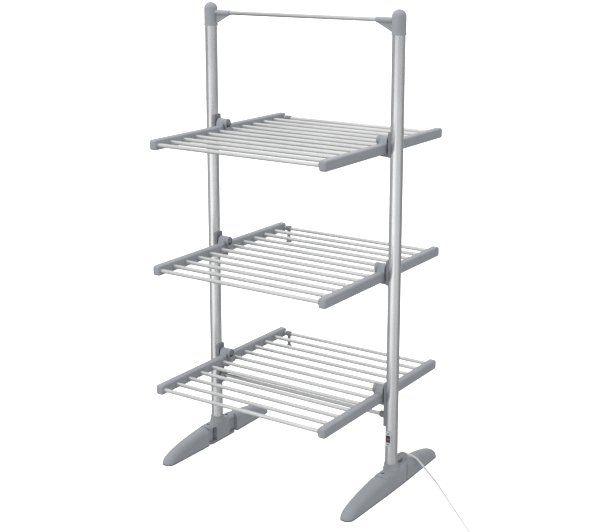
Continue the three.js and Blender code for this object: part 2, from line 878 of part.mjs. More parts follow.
// The middle line of the coil: in on the lower layer, up in a climb, out on the upper layer, and a straight tail
function coilLine() {
  const heading = coilHeading();
  const side = new THREE.Vector3(heading.y, -heading.x, 0);
  const entry = coilStart().clone().addScaledVector(heading, 2 * leadRadius + seatGap);
  const centre = entry.clone().addScaledVector(side, coilOuterRadius);
  const points = [coilStart().clone().addScaledVector(heading, seatGap)];
  const turns = coilLowerTurns + coilClimbTurns + coilUpperTurns;
  const steps = Math.round(turns * coilStepsPerTurn);
  for (let step = 0; step <= steps; step += 1) {
    const turn = (step / steps) * turns;
    const above = Math.min(Math.max((turn - coilLowerTurns) / coilClimbTurns, 0), 1);
    const fromReversal = Math.max(coilLowerTurns - turn, turn - coilLowerTurns - coilClimbTurns, 0);
    const radius = coilInnerRadius + coilPitch * fromReversal;
    const angle = -turn * 2 * Math.PI;
    const out = side.clone().negate().multiplyScalar(radius * Math.cos(angle));
    out.addScaledVector(heading, -radius * Math.sin(angle));
    out.z = coilPitch * above * above * (3 - 2 * above);
    points.push(centre.clone().add(out));
  }
  const last = points[points.length - 1];
  const before = points[points.length - 2];
  const way = last.clone().sub(before).setZ(0).normalize();
  points.push(last.clone().addScaledVector(way, coilTail));
  return points;
}

function tubeRings(points, radius, sides) {
  return points.map((point, i) => {
    const ahead = points[Math.min(i + 1, points.length - 1)];
    const behind = points[Math.max(i - 1, 0)];
    const way = ahead.clone().sub(behind).normalize();
    const across = new THREE.Vector3(way.y, -way.x, 0).normalize();
    const up = across.clone().cross(way).normalize();
    const ring = [];
    for (let k = 0; k < sides; k += 1) {
      const angle = (k / sides) * 2 * Math.PI;
      const spot = point.clone().addScaledVector(across, radius * Math.cos(angle));
      ring.push(spot.addScaledVector(up, radius * Math.sin(angle)));
    }
    return ring;
  });
}

function leastSelfGap(points, diameter) {
  let least = Infinity;
  const apart = Math.round(coilStepsPerTurn / 2);
  for (let i = 0; i < points.length; i += 1) {
    for (let j = i + apart; j < points.length; j += 1) {
      least = Math.min(least, points[i].distanceTo(points[j]) - diameter);
    }
  }
  return least;
}

function lengthOf(points) {
  return points.slice(1).reduce((sum, point, i) => sum + point.distanceTo(points[i]), 0);
}

function freeLead() {
  const curve = new THREE.CatmullRomCurve3(leadRoute, false, 'centripetal');
  const section = new THREE.Shape();
  section.absarc(0, 0, leadRadius, 0, 2 * Math.PI);
  const points = section.getPoints(leadSides).slice(0, leadSides);
  const geometry = new THREE.ExtrudeGeometry(new THREE.Shape(points), {
    steps: leadSteps,
    extrudePath: curve,
    bevelEnabled: false,
  });
  return { body: solid(geometry), length: curve.getLength() };
}

// The plug lies on its back beside the coil with its pins up; forward is the way in which the lead runs into it
function plug(start, forward) {
  const middle = plugHeight / 2;
  const body = new THREE.Shape();
  const corner = plugNeckHalfWidth / 2;
  body.moveTo(plugSleeve, -plugNeckHalfWidth);
  body.lineTo(plugSleeve + plugLength / 3, -plugHalfWidth);
  body.lineTo(plugSleeve + plugLength - corner, -plugHalfWidth);
  body.lineTo(plugSleeve + plugLength, corner - plugHalfWidth);
  body.lineTo(plugSleeve + plugLength, plugHalfWidth - corner);
  body.lineTo(plugSleeve + plugLength - corner, plugHalfWidth);
  body.lineTo(plugSleeve + plugLength / 3, plugHalfWidth);
  body.lineTo(plugSleeve, plugNeckHalfWidth);
  const shell = alongZ(body, 0, plugHeight, plugEdge);
  const profile = [
    [0, 0],
    [leadRadius + seatGap, 0],
    [plugSleeveRoot, plugSleeve],
    [plugSleeveRoot, plugSleeve + cutOverrun],
    [0, plugSleeve + cutOverrun],
    [0, 0],
  ];
  const sleeve = turned(profile, X, new THREE.Vector3(0, 0, middle), pinSides);
  const top = plugHeight - seatGap + plugPinLength;
  const pins = [-plugPinSpread, plugPinSpread].map((y) => {
    const x = plugSleeve + plugLivePinOffset;
    const half = plugPinThickness / 2;
    return box(x - plugPinWidth / 2, x + plugPinWidth / 2, y - half, y + half, middle, top);
  });
  const earthX = plugSleeve + plugLivePinOffset + plugEarthOffset;
  const half = plugPinThickness / 2;
  const earth = box(earthX - half, earthX + half, -plugEarthPinWidth / 2, plugEarthPinWidth / 2, middle, top);
  const across = new THREE.Vector3().crossVectors(Z, forward);
  const turn = new THREE.Matrix4().makeBasis(forward, across, Z).setPosition(start.x, start.y, 0);
  return solid(geometryOf(union(shell, sleeve, ...pins, earth)).applyMatrix4(turn));
}

// The whole airer

const tiers = [
  { name: 'top', height: topTierHeight },
  { name: 'middle', height: middleTierHeight },
  { name: 'bottom', height: bottomTierHeight },
];
const wings = [
  { name: 'front', end: -1 },
  { name: 'back', end: 1 },
];

function addFrame() {
  const plainPost = post();
  addPiece('left_post', plainPost, aluminium);
  addPiece('right_post', cut(mirrored(plainPost, -1, 1), switchOpening()), aluminium);
  addPair('left_post_cap', 'right_post_cap', postCap(), greyPlastic);
  addPiece('top_bar', topBar(), aluminium);
  addPiece('lower_crossbar', lowerCrossbar(), aluminium);
  for (const { name, height } of tiers) {
    const plain = hingeBracket(height, height - armHalf - seatGap - ledgeThickness);
    const bracket = name === 'bottom' ? bottomBracket() : plain;
    addPair(`left_${name}_bracket`, `right_${name}_bracket`, bracket, greyPlastic);
    addPair(`left_${name}_hinge_pin`, `right_${name}_hinge_pin`, hingePin(height), steel);
  }
}

function addWings() {
  for (const { name: tier, height } of tiers) {
    for (const { name: wing, end } of wings) {
      addPair(`${tier}_${wing}_left_arm`, `${tier}_${wing}_right_arm`, arm(height, end), greyPlastic);
      addPiece(`${tier}_${wing}_bars`, wingBars(height, end), satinAluminium);
    }
    addPiece(`${tier}_storage_clip`, storageClip(height), darkPlastic);
  }
}

function addFeet() {
  addPair('left_foot_hub', 'right_foot_hub', footHub(), greyPlastic);
  const frontLeg = leg();
  addPair('left_front_leg', 'right_front_leg', frontLeg, greyPlastic);
  addPair('left_back_leg', 'right_back_leg', mirrored(frontLeg, 1, -1), greyPlastic);
  addPair('left_front_leg_pin', 'right_front_leg_pin', legPin(), steel);
  addPair('left_back_leg_pin', 'right_back_leg_pin', mirrored(legPin(), 1, -1), steel);
}

function addSwitch() {
  addPiece('switch_plate', switchPlate(), palePlastic);
  addPiece('switch_body', switchBody(), darkPlastic);
  addPiece('switch_rocker', rocker(), redPlastic);
}

function addLead() {
  addPiece('lead_relief', leadRelief(), greyPlastic);
  const lead = freeLead();
  addPiece('lead', lead.body, whitePlastic);
  const line = coilLine();
  addPiece('lead_coil', lofted(tubeRings(line, leadRadius, coilSides)), whitePlastic);
  const end = line[line.length - 1];
  const forward = end.clone().sub(line[line.length - 2]).setZ(0).normalize();
  addPiece('plug', plug(end.clone().addScaledVector(forward, seatGap), forward), whitePlastic);
  const gap = leastSelfGap(line, 2 * leadRadius);
  const total = lead.length + lengthOf(line);
  console.log(`coil: least gap to itself ${gap.toFixed(2)} mm`);
  console.log(`lead: free ${lead.length.toFixed(0)} mm, coil ${lengthOf(line).toFixed(0)} mm, in all ${total.toFixed(0)} mm`);
}

addFrame();
addWings();
addFeet();
addSwitch();
addLead();

export default airer;
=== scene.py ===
# The looks of the heated clothes airer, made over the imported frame.
# Pieces are modelled in millimetres, like the frame, and each finished mesh is scaled to metres.
import math

import bmesh
import bpy
from mathutils import Matrix, Vector


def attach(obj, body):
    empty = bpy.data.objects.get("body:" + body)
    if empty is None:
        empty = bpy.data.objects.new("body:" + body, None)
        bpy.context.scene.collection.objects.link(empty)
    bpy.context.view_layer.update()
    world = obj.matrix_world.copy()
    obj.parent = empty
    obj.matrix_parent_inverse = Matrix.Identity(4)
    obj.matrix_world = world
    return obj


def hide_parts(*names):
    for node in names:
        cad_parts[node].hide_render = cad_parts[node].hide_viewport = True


MM = 0.001
SIDES = (("left", 1), ("right", -1))
X = Vector((1, 0, 0))
Y = Vector((0, 1, 0))
Z = Vector((0, 0, 1))

# Smoothness
POST_SIDES = 64
ROUND_SIDES = 40
BAR_SIDES = 28
SMALL_SIDES = 24
LEAD_SIDES = 16
EDGE_STEPS = 3
BROAD_EDGE_STEPS = 4
CORNER_STEPS = 6
FOOT_STEPS = 8
DOME_STEPS = 10
ROUTE_STEPS = 6
ROUNDED_DEGREES = 30
SMOOTH_DEGREES = 38
OVERRUN = 5
OVERLAP = 1
WELD = 0.0001

# Sizes of the frame
SEAT_GAP = 0.3
TURNING_GAP = 0.5
SWING_GAP = 1
FINE_EDGE = 0.5
SMALL_EDGE = 0.6
SOFT_EDGE = 0.8
BROAD_EDGE = 1
OVERALL_HEIGHT = 1430
POST_X = 330
POST_RADIUS = 19
POST_WALL = 1.5
TOP_BAR_HEIGHT = 1399
CROSSBAR_HEIGHT = 226
TIERS = {"top": 1036, "middle": 658, "bottom": 282}
CAP_WALL = 1.2
CAP_LENGTH = 71
CAP_CROWN = 14
CAP_DOME = 19
CAP_LIP = 0.7
CAP_LIP_HEIGHT = 5
SOCKET_WALL = 1.5
SOCKET_REACH = 73
GUSSET_THICKNESS = 3
BAR_RADIUS = 6
BAR_PITCH = 58.6
BARS_PER_WING = 6
ARM_WIDTH = 25
ARM_HEIGHT = 31
ARM_WALL = 2.5
ARM_TIP = 12.7
ARM_EDGE = 6
ROOT_EDGE = 1.5
ROOT_ROUND = 11
ROOT_STEPS = 8
ARM_TIP_RADIUS = 7
ROOT_GAP = 0.5
BOSS_WALL = 2
BOSS_HEIGHT = 3
BAR_INSERT = 5
PIVOT_RISE = 23.8
KNUCKLE_RADIUS = 13.5
PIN_RADIUS = 5
PIN_HEAD_RADIUS = 8
PIN_HEAD = 2
PIN_HEAD_EDGE = 0.9
SPACER_LENGTH = 3
SPACER_RADIUS = 8.5
LUG_LENGTH = 10.5
LUG_REACH = 20
WEB_REACH = 18
WEB_LEAN_DEGREES = 22
CHEEK_LEAN_DEGREES = 49
ROOT_REACH = 17
ROOT_INSET = 0.15
BRACKET_WALL = 2.5
BRACKET_DEPTH = 14.8
BRACKET_HALF_WIDTH = 16
BRACKET_ABOVE = 50
BRACKET_EDGE = 2
BRACKET_CORNER = 6
LEDGE_THICKNESS = 8.7
LEDGE_HALF_WIDTH = 7.5
LEDGE_REACH = 29
LEDGE_CORNER = 3
CROSSBAR_SOCKET_RADIUS = 10
CROSSBAR_SOCKET_LENGTH = 17.5
BRACKET_TAIL = 31
FOOT_LENGTH = 544
FOOT_HALF_WIDTH = 25
FOOT_HEIGHT = 61
FOOT_EDGE = 12
FOOT_ROUND = 19
SOLE_HEIGHT = 3
SOLE_RIM = 0.3
PIN_WELL_RADIUS = 5.8
PIN_WELL_DEPTH = 4
LEG_TIP_RADIUS = 21
LEG_TIP_HEIGHT = 8
LEG_FULLNESS = 1.3
LEG_ROUNDNESS = 2.7
LEG_STATIONS = 30
LEG_LAST_STATION = 0.997
LEG_PIN_OFFSET = 50
LEG_PIN_RADIUS = 4
LEG_PIN_SINK = 6
LEG_BARREL_RADIUS = 15
LEG_NECK_HALF_WIDTH = 13
LEG_NECK_REACH = 15
HUB_OUTER_WALL = 3
HUB_FLOOR = 6
HUB_ROOF = 8
POST_SEAT = 10
COLLAR_TOP = 78
COLLAR_WALL = 2.2
COLLAR_FLARE = 3.4
COLLAR_FLARE_SHARE = 0.8
POCKET_DEPTH = 12
POCKET_RIB = 3
POCKET_RIM = 6
POCKET_COUNT = 3
CLIP_WIDTH = 18
CLIP_WALL = 2.4
CLIP_STRAP_WIDTH = 12
CLIP_STRAP = 3.4
CLIP_INSET = 60
CLIP_MOUTH_OVERHANG = 2.5
SWITCH_HEIGHT = 160
PLATE_WIDTH = 20
PLATE_LENGTH = 48
PLATE_FRONT = 3
PLATE_CORNER = 2
PLATE_SCREW_SPACING = 33
SCREW_RADIUS = 2.2
SCREW_RISE = 0.6
SWITCH_HALF_WIDTH = 7.2
SWITCH_HALF_HEIGHT = 10.7
SWITCH_WALL = 1.4
SWITCH_DEPTH = 20
ROCKER_PIVOT_DEPTH = 2.5
ROCKER_HALF_WIDTH = 5.4
ROCKER_HALF_HEIGHT = 8.4
ROCKER_RISE = 3.6
ROCKER_DIP = 1.4
ROCKER_BACK = 5
ROCKER_WAIST = 2.8
ROCKER_TILT_DEGREES = 7
TRUNNION_RADIUS = 1.5
LENS_PROUD = 0.3
LENS_CORNER = 0.8
LENS_EDGE = 0.2
LEAD_RADIUS = 3
RELIEF_HEIGHT = 85
RELIEF_LENGTH = 34
RELIEF_FLANGE = 6.5
RELIEF_FLANGE_THICKNESS = 3
RELIEF_FLANGE_RIM_SHARE = 0.7
RELIEF_FLANGE_TOP_SHARE = 0.93
RELIEF_ROOT = 5.6
RELIEF_TIP = 4.2
RELIEF_RIBS = 6
RELIEF_SINK = 0.9
RELIEF_GROOVE = 0.7
RELIEF_END_EDGE = 0.4
SLEEVE_LENGTH = 25
SLEEVE_END = 3.6
GUIDE_NEAR = 59
GUIDE_FAR = 73
GUIDE_END = 88
GUIDE_TOP = 84
GUIDE_LOW_TOP = 75
GUIDE_RIB = 73
GUIDE_HALF_WIDTH = 7
GUIDE_EDGE = 2.5
LEG_TOP_CLEARANCE = 2
COIL_TURN_GAP = 1.5
COIL_INNER_RADIUS = 26
COIL_LOWER_TURNS = 2
COIL_CLIMB_TURNS = 0.5
COIL_UPPER_TURNS = 1.78
COIL_STEPS_PER_TURN = 48
COIL_TAIL = 14
PLUG_SLEEVE = 28
PLUG_SLEEVE_ROOT = 6
PLUG_SLEEVE_RINGS = 6
PLUG_SLEEVE_GROOVE = 0.7
PLUG_FLOOR_GAP = 0.2
PLUG_LENGTH = 44
PLUG_HALF_WIDTH = 23
PLUG_NECK_HALF_WIDTH = 11
PLUG_EDGE = 3
PLUG_CORNER = 5.5
PLUG_PIN_LENGTH = 19
PLUG_PIN_WIDTH = 6.4
PLUG_PIN_THICKNESS = 4
PLUG_EARTH_PIN_WIDTH = 8
PLUG_PIN_SPREAD = 11
PLUG_EARTH_OFFSET = 22
PLUG_LIVE_PIN_OFFSET = 13

BRACKET_FACE = POST_RADIUS + BRACKET_WALL
POST_BORE = POST_RADIUS + SEAT_GAP
ARM_OUTER = BRACKET_FACE + SWING_GAP + SPACER_LENGTH
ARM_INNER = ARM_OUTER + ARM_WIDTH
ARM_HALF = ARM_HEIGHT / 2
BAR_END = ARM_INNER - ARM_WALL - BAR_INSERT
FIRST_BAR = BAR_PITCH / 2
LAST_BAR = FIRST_BAR + (BARS_PER_WING - 1) * BAR_PITCH
ARM_END = LAST_BAR + ARM_TIP
LUG_START = ARM_INNER + TURNING_GAP
LUG_END = LUG_START + LUG_LENGTH
LEG_LENGTH = FOOT_LENGTH / 2 - LEG_PIN_OFFSET
LEG_PIVOT_GAP = FOOT_HALF_WIDTH + SWING_GAP
HUB_HALF_BLOCK = LEG_PIN_OFFSET - LEG_BARREL_RADIUS - SWING_GAP
COIL_PITCH = 2 * LEAD_RADIUS + COIL_TURN_GAP
COIL_OUTER_RADIUS = COIL_INNER_RADIUS + COIL_LOWER_TURNS * COIL_PITCH

# The route of the free lead, in metres
LEAD_ROUTE = [
    (0.33, 0.0533, 0.085), (0.33, 0.0623, 0.0842), (0.3312, 0.0715, 0.0815),
    (0.3336, 0.0798, 0.0778), (0.3369, 0.0875, 0.0736), (0.341, 0.0946, 0.0693),
    (0.3457, 0.1012, 0.0647), (0.3508, 0.1072, 0.0597), (0.3557, 0.1126, 0.0538),
    (0.3603, 0.117, 0.0469), (0.3652, 0.1205, 0.0396), (0.3709, 0.1229, 0.0323),
    (0.3774, 0.1241, 0.0254), (0.3848, 0.1238, 0.0191), (0.3929, 0.1221, 0.0139),
    (0.4012, 0.119, 0.0097), (0.4095, 0.1147, 0.0067), (0.4176, 0.1094, 0.0047),
    (0.4254, 0.1035, 0.0037), (0.4329, 0.097, 0.0032), (0.447, 0.0831, 0.0032),
    (0.4606, 0.0687, 0.0032), (0.4955, 0.0329, 0.0032), (0.5303, -0.003, 0.0032),
    (0.5652, -0.0388, 0.0032), (0.6001, -0.0746, 0.0032), (0.635, -0.1105, 0.0032),
    (0.6698, -0.1463, 0.0032), (0.7047, -0.1821, 0.0032), (0.7421, -0.2206, 0.0032)]

# Camera
CAMERA_PLACE = (1.9485, -2.9233, 1.6288)
CAMERA_YAW_DEGREES = 33.694
CAMERA_PITCH_DEGREES = 12.82
CAMERA_LENS = 71.365
CAMERA_SHIFT = -0.1
CAMERA_SENSOR = 36
CAMERA_REACH = 50

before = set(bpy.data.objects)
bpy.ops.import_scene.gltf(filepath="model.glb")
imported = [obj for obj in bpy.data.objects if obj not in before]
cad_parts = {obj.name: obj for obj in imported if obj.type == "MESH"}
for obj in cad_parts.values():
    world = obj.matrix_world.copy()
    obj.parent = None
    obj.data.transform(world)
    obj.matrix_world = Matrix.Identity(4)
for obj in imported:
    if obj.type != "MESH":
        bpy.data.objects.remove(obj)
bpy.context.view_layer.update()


def put_camera():
    data = bpy.data.cameras.new("camera")
    data.lens = CAMERA_LENS
    data.sensor_width = CAMERA_SENSOR
    data.shift_y = CAMERA_SHIFT
    data.clip_end = CAMERA_REACH
    camera = bpy.data.objects.new("camera", data)
    camera.location = CAMERA_PLACE
    tilt = math.radians(90 - CAMERA_PITCH_DEGREES)
    camera.rotation_euler = (tilt, 0, math.radians(CAMERA_YAW_DEGREES))
    bpy.context.scene.collection.objects.link(camera)
    bpy.context.scene.camera = camera


put_camera()


# Mesh building

def closed_loop(bm, points):
    """Edges round a closed loop of points."""
    corners = [bm.verts.new(point) for point in points]
    return [bm.edges.new(pair) for pair in zip(corners, corners[1:] + corners[:1])]


def loft(bm, sections):
    """Bridges the sections, each a closed loop of points, and fills the first and the last one."""
    loops = [closed_loop(bm, section) for section in sections]
    for near, far in zip(loops, loops[1:]):
        bmesh.ops.bridge_loops(bm, edges=near + far)
    for end in (loops[0], loops[-1]):
        bmesh.ops.edgeloop_fill(bm, edges=end)


def basis(axis):
    across = {0: Y, 1: Z, 2: X}[max(range(3), key=lambda i: abs(axis[i]))]
    up = axis.cross(across).normalized()
    return up.cross(axis).normalized(), up


def arc(centre, first, sweep, steps, width, height=None):
    """Points along an arc, or along part of an oval, with its angles in degrees."""
    height = width if height is None else height
    points = []
    for step in range(steps + 1):
        angle = math.radians(first + sweep * step / steps)
        points.append((centre[0] + width * math.cos(angle), centre[1] + height * math.sin(angle)))
    return points


def made(maker, *values, **named):
    """A new shape with one form in it."""
    bm = bmesh.new()
    maker(bm, *values, **named)
    return bm


def turned(bm, profile, axis, start, sides, looped=False):
    """Spins a profile of (radius, distance) round an axis from a point."""
    one = bmesh.new()
    across = basis(axis)[0]
    corners = [one.verts.new(start + axis * distance + across * radius) for radius, distance in profile]
    chain = corners + corners[:1] if looped else corners
    edges = [one.edges.new(pair) for pair in zip(chain, chain[1:])]
    bmesh.ops.spin(
        one, geom=corners + edges, cent=start, axis=axis, angle=2 * math.pi, steps=sides, use_merge=True)
    bmesh.ops.remove_doubles(one, verts=one.verts, dist=WELD)
    add_into(bm, one)


def rod(bm, axis, radius, start, end, centre, sides=ROUND_SIDES, edge=0.0):
    """A round bar along an axis, which may have rounded rims."""
    length = end - start
    low = arc((radius - edge, edge), -90, 90, EDGE_STEPS, edge) if edge else [(radius, 0)]
    high = [(across, length - along) for across, along in low[::-1]]
    turned(bm, [(0, 0)] + low + high + [(0, length)], axis, Vector(centre) + axis * start, sides)


def add_into(bm, other):
    mesh = bpy.data.meshes.new("part_of_piece")
    other.to_mesh(mesh)
    other.free()
    bm.from_mesh(mesh)
    bpy.data.meshes.remove(mesh)


def bevel_sharp(bm, width, segments=EDGE_STEPS):
    bmesh.ops.recalc_face_normals(bm, faces=bm.faces)
    least = math.radians(ROUNDED_DEGREES)
    sharp = [edge for edge in bm.edges if edge.is_manifold and edge.calc_face_angle(0) > least]
    bmesh.ops.bevel(
        bm, geom=sharp, offset=width, segments=segments, profile=0.5, affect="EDGES", material=-1,
        clamp_overlap=True)


def prism(bm, outline, axis, start, end, edge=0.0, segments=EDGE_STEPS):
    """Draws an outline of (across, up) points along an axis and rounds its edges."""
    one = bmesh.new()
    across, up, along = {"x": (Y, Z, X), "y": (X, Z, Y), "z": (X, Y, Z)}[axis]
    face = one.faces.new([one.verts.new(across * a + up * b + along * start) for a, b in outline])
    drawn = bmesh.ops.extrude_face_region(one, geom=[face])
    far = [part for part in drawn["geom"] if isinstance(part, bmesh.types.BMVert)]
    bmesh.ops.translate(one, vec=along * (end - start), verts=far)
    if edge:
        bevel_sharp(one, edge, segments)
    add_into(bm, one)


def rectangle(a0, a1, b0, b1, radius=0.0):
    if not radius:
        return [(a0, b0), (a1, b0), (a1, b1), (a0, b1)]
    corners = [(a1 - radius, b0 + radius, -90), (a1 - radius, b1 - radius, 0),
               (a0 + radius, b1 - radius, 90), (a0 + radius, b0 + radius, 180)]
    points = []
    for a, b, first in corners:
        points += arc((a, b), first, 90, CORNER_STEPS, radius)
    return points


def arched(half_width, low, high, radius):
    """An upright outline with square lower and round upper corners."""
    points = [(-half_width, low), (half_width, low)]
    for centre, first in ((half_width - radius, 0), (radius - half_width, 90)):
        points += arc((centre, high - radius), first, 90, CORNER_STEPS, radius)
    return points


def box(x0, x1, y0, y1, z0, z1):
    return made(prism, rectangle(x0, x1, *sorted((y0, y1))), "z", z0, z1)


def mirror(bm, x=1, y=1):
    bmesh.ops.scale(bm, vec=(x, y, 1), verts=bm.verts)
    if x * y < 0:
        bmesh.ops.reverse_faces(bm, faces=bm.faces)


def object_from(name, bm):
    bmesh.ops.recalc_face_normals(bm, faces=bm.faces)
    mesh = bpy.data.meshes.new(name)
    bm.to_mesh(mesh)
    bm.free()
    obj = bpy.data.objects.new(name, mesh)
    bpy.context.scene.collection.objects.link(obj)
    return obj


def carved(bm, *tools, operation="DIFFERENCE"):
    """The shape with the tools cut out of it, or joined to it or kept in common."""
    objects = [object_from("carving", shape) for shape in (bm, *tools)]
    for tool in objects[1:]:
        modifier = objects[0].modifiers.new("cut", "BOOLEAN")
        modifier.operation = operation
        modifier.solver = "EXACT"
        modifier.object = tool
    bpy.context.view_layer.update()
    result = bpy.data.meshes.new_from_object(objects[0].evaluated_get(bpy.context.evaluated_depsgraph_get()))
    out = bmesh.new()
    out.from_mesh(result)
    meshes = [result] + [one.data for one in objects]
    for one in objects:
        bpy.data.objects.remove(one)
    for mesh in meshes:
        bpy.data.meshes.remove(mesh)
    return out


def piece(name, bm, body, slot, material, *nodes):
    """A finished piece: scaled to metres, shaded, given its material and tied to its body."""
    bmesh.ops.scale(bm, vec=(MM, MM, MM), verts=bm.verts)
    obj = object_from(name, bm)
    obj.data.polygons.foreach_set("use_smooth", [True] * len(obj.data.polygons))
    obj.data.set_sharp_from_angle(angle=math.radians(SMOOTH_DEGREES))
    obj.modifiers.new("even_shading", "WEIGHTED_NORMAL").keep_sharp = True
    obj.data.materials.append(material)
    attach(obj, body)
    if nodes:
        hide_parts(*nodes)
    return obj


def about(middle, half):
    """The two ends of a span, from its middle and its half length."""
    return middle - half, middle + half


def inward(inset):
    """x on the left side, measured inwards from the middle of the post."""
    return inset - POST_X


def post_room(x, low, high):
    """The room that a post takes up, to be cut out of what sits on it."""
    return made(rod, Z, POST_BORE, low, high, (x, 0, 0), POST_SIDES)


# Materials

METAL_CLOUD = 9
METAL_GLOSS_SPREAD = (-0.02, 0.03)
METAL_LINE_DEPTH = 0.00003
PLASTIC_CLOUD = 14
PLASTIC_GLOSS_SPREAD = (-0.05, 0.06)
PLASTIC_GRAIN_DEPTH = 0.00008


def new_material(name):
    material = bpy.data.materials.new(name)
    material.use_nodes = True
    tree = material.node_tree
    shader = tree.nodes["Principled BSDF"]
    return material, tree, shader


def object_coordinates(tree, scale=(1, 1, 1)):
    coordinates = tree.nodes.new("ShaderNodeTexCoord")
    mapping = tree.nodes.new("ShaderNodeMapping")
    mapping.inputs["Scale"].default_value = scale
    tree.links.new(coordinates.outputs["Object"], mapping.inputs["Vector"])
    return mapping.outputs["Vector"]


def noise(tree, vector, scale, detail, roughness=0.5):
    node = tree.nodes.new("ShaderNodeTexNoise")
    node.inputs["Scale"].default_value = scale
    node.inputs["Detail"].default_value = detail
    node.inputs["Roughness"].default_value = roughness
    tree.links.new(vector, node.inputs["Vector"])
    return node.outputs["Fac"]


def ramp(tree, factor, stops):
    node = tree.nodes.new("ShaderNodeValToRGB")
    elements = node.color_ramp.elements
    while len(elements) < len(stops):
        elements.new(0.5)
    for element, (place, colour) in zip(elements, stops):
        element.position = place
        element.color = (*colour, 1)
    tree.links.new(factor, node.inputs["Fac"])
    return node.outputs["Color"]


def bump(tree, height, shader, strength, distance):
    node = tree.nodes.new("ShaderNodeBump")
    node.inputs["Strength"].default_value = strength
    node.inputs["Distance"].default_value = distance
    tree.links.new(height, node.inputs["Height"])
    tree.links.new(node.outputs["Normal"], shader.inputs["Normal"])


def grey(value):
    return (value, value, value)


def uneven(tree, factor, low, high, margin=0.3):
    """A blend from one colour to another over the middle of a noise."""
    return ramp(tree, factor, [(margin, low), (1 - margin, high)])


def uneven_gloss(tree, factor, shader, roughness, spread):
    low, high = (grey(roughness + change) for change in spread)
    tree.links.new(uneven(tree, factor, low, high), shader.inputs["Roughness"])


def metal(name, dark, light, roughness, stretch, grain):
    """Drawn aluminium or steel: fine lines along the stretch and a slight change of tone."""
    material, tree, shader = new_material(name)
    lines = noise(tree, object_coordinates(tree, stretch), grain, detail=4, roughness=0.6)
    cloud = noise(tree, object_coordinates(tree), METAL_CLOUD, detail=2)
    tree.links.new(uneven(tree, cloud, dark, light), shader.inputs["Base Color"])
    uneven_gloss(tree, lines, shader, roughness, METAL_GLOSS_SPREAD)
    shader.inputs["Metallic"].default_value = 1
    bump(tree, lines, shader, strength=0.05, distance=METAL_LINE_DEPTH)
    return material


def plastic(name, dark, light, roughness, grain, strength=0.25, specular=0.5):
    """Moulded plastic with a fine spark grain and a slight change of tone."""
    material, tree, shader = new_material(name)
    place = object_coordinates(tree)
    cloud = noise(tree, place, PLASTIC_CLOUD, detail=3)
    fine = noise(tree, place, grain, detail=2, roughness=0.7)
    tree.links.new(uneven(tree, cloud, dark, light, margin=0.25), shader.inputs["Base Color"])
    uneven_gloss(tree, fine, shader, roughness, PLASTIC_GLOSS_SPREAD)
    shader.inputs["Specular IOR Level"].default_value = specular
    bump(tree, fine, shader, strength, PLASTIC_GRAIN_DEPTH)
    return material


POST_METAL = metal("post_metal", (0.7, 0.705, 0.72), (0.76, 0.765, 0.775), 0.27, (1, 1, 0.02), 1600)
CROSS_METAL = metal("cross_metal", (0.53, 0.535, 0.545), (0.58, 0.585, 0.59), 0.3, (0.02, 1, 1), 1600)
BAR_METAL = metal("bar_metal", (0.72, 0.722, 0.72), (0.78, 0.782, 0.78), 0.4, (0.02, 1, 1), 1600)
STEEL = metal("pin_metal", (0.45, 0.455, 0.47), (0.56, 0.565, 0.58), 0.3, (1, 1, 1), 700)
BLACK_STEEL = metal("black_pin_metal", (0.03, 0.03, 0.033), (0.05, 0.05, 0.055), 0.45, (1, 1, 1), 700)
GREY_PLASTIC = plastic("grey_plastic", (0.255, 0.27, 0.292), (0.285, 0.3, 0.323), 0.46, 1500)
# Darker grey plastic of the saddles, axle caps and clips: partly their own darker grey, partly painted shade
# that darkens the notches between the arm roots and the saddles.
DARKER_GREY_AND_PAINTED_SHADE = plastic("saddle_plastic_and_painted_shade", (0.178, 0.187, 0.201), (0.2, 0.209, 0.224), 0.48, 1500)
DARK_PLASTIC = plastic("dark_plastic", (0.09, 0.096, 0.105), (0.11, 0.116, 0.126), 0.5, 1500)
PALE_PLASTIC = plastic("pale_plastic", (0.42, 0.455, 0.475), (0.46, 0.495, 0.515), 0.42, 1500)
RED_PLASTIC = plastic("red_plastic", (0.075, 0.008, 0.015), (0.095, 0.01, 0.018), 0.22, 900, 0.05)
LENS_PLASTIC = plastic("lens_plastic", (0.24, 0.13, 0.15), (0.28, 0.16, 0.18), 0.2, 900, 0.03)
WHITE_PLASTIC = plastic("white_plastic", (0.64, 0.645, 0.65), (0.68, 0.685, 0.69), 0.45, 1300)
# Dark sole rubber; the thin dark line it draws round the bottom of each foot is partly painted shade where
# the foot meets the floor.
RUBBER_AND_PAINTED_SHADE = plastic("sole_rubber_and_painted_shade", (0.045, 0.046, 0.05), (0.06, 0.061, 0.065), 0.7, 1100, 0.3, 0.3)


# Lead, coil and plug

# Places on one rib and one ring as shares of their pitch, each with a share of the groove's depth
RIB_STEPS = [(0.0, 1.0), (0.2, 1.0), (0.3, 0.0), (0.85, 0.0), (0.95, 1.0)]
RING_STEPS = [(0.1, 0.0), (0.6, 0.0), (0.68, 1.0), (0.95, 1.0)]


def between(near, far, near_time, far_time, time):
    span = far_time - near_time
    return near * ((far_time - time) / span) + far * ((time - near_time) / span)


def catmull_rom(points):
    """A centripetal curve through the points."""
    ghosts = [points[0] * 2 - points[1]] + points + [points[-1] * 2 - points[-2]]
    line = []
    for p0, p1, p2, p3 in zip(ghosts, ghosts[1:], ghosts[2:], ghosts[3:]):
        t1 = math.sqrt((p1 - p0).length)
        t2 = t1 + math.sqrt((p2 - p1).length)
        t3 = t2 + math.sqrt((p3 - p2).length)
        for step in range(ROUTE_STEPS):
            t = t1 + (t2 - t1) * step / ROUTE_STEPS
            a1 = between(p0, p1, 0, t1, t)
            a2 = between(p1, p2, t1, t2, t)
            a3 = between(p2, p3, t2, t3, t)
            b1 = between(a1, a2, 0, t2, t)
            b2 = between(a2, a3, t1, t3, t)
            line.append(between(b1, b2, t1, t2, t))
    return line + [points[-1]]


def last_way(points):
    """The way on which a line ends, along the floor."""
    way = points[-1] - points[-2]
    way.z = 0
    return way.normalized()


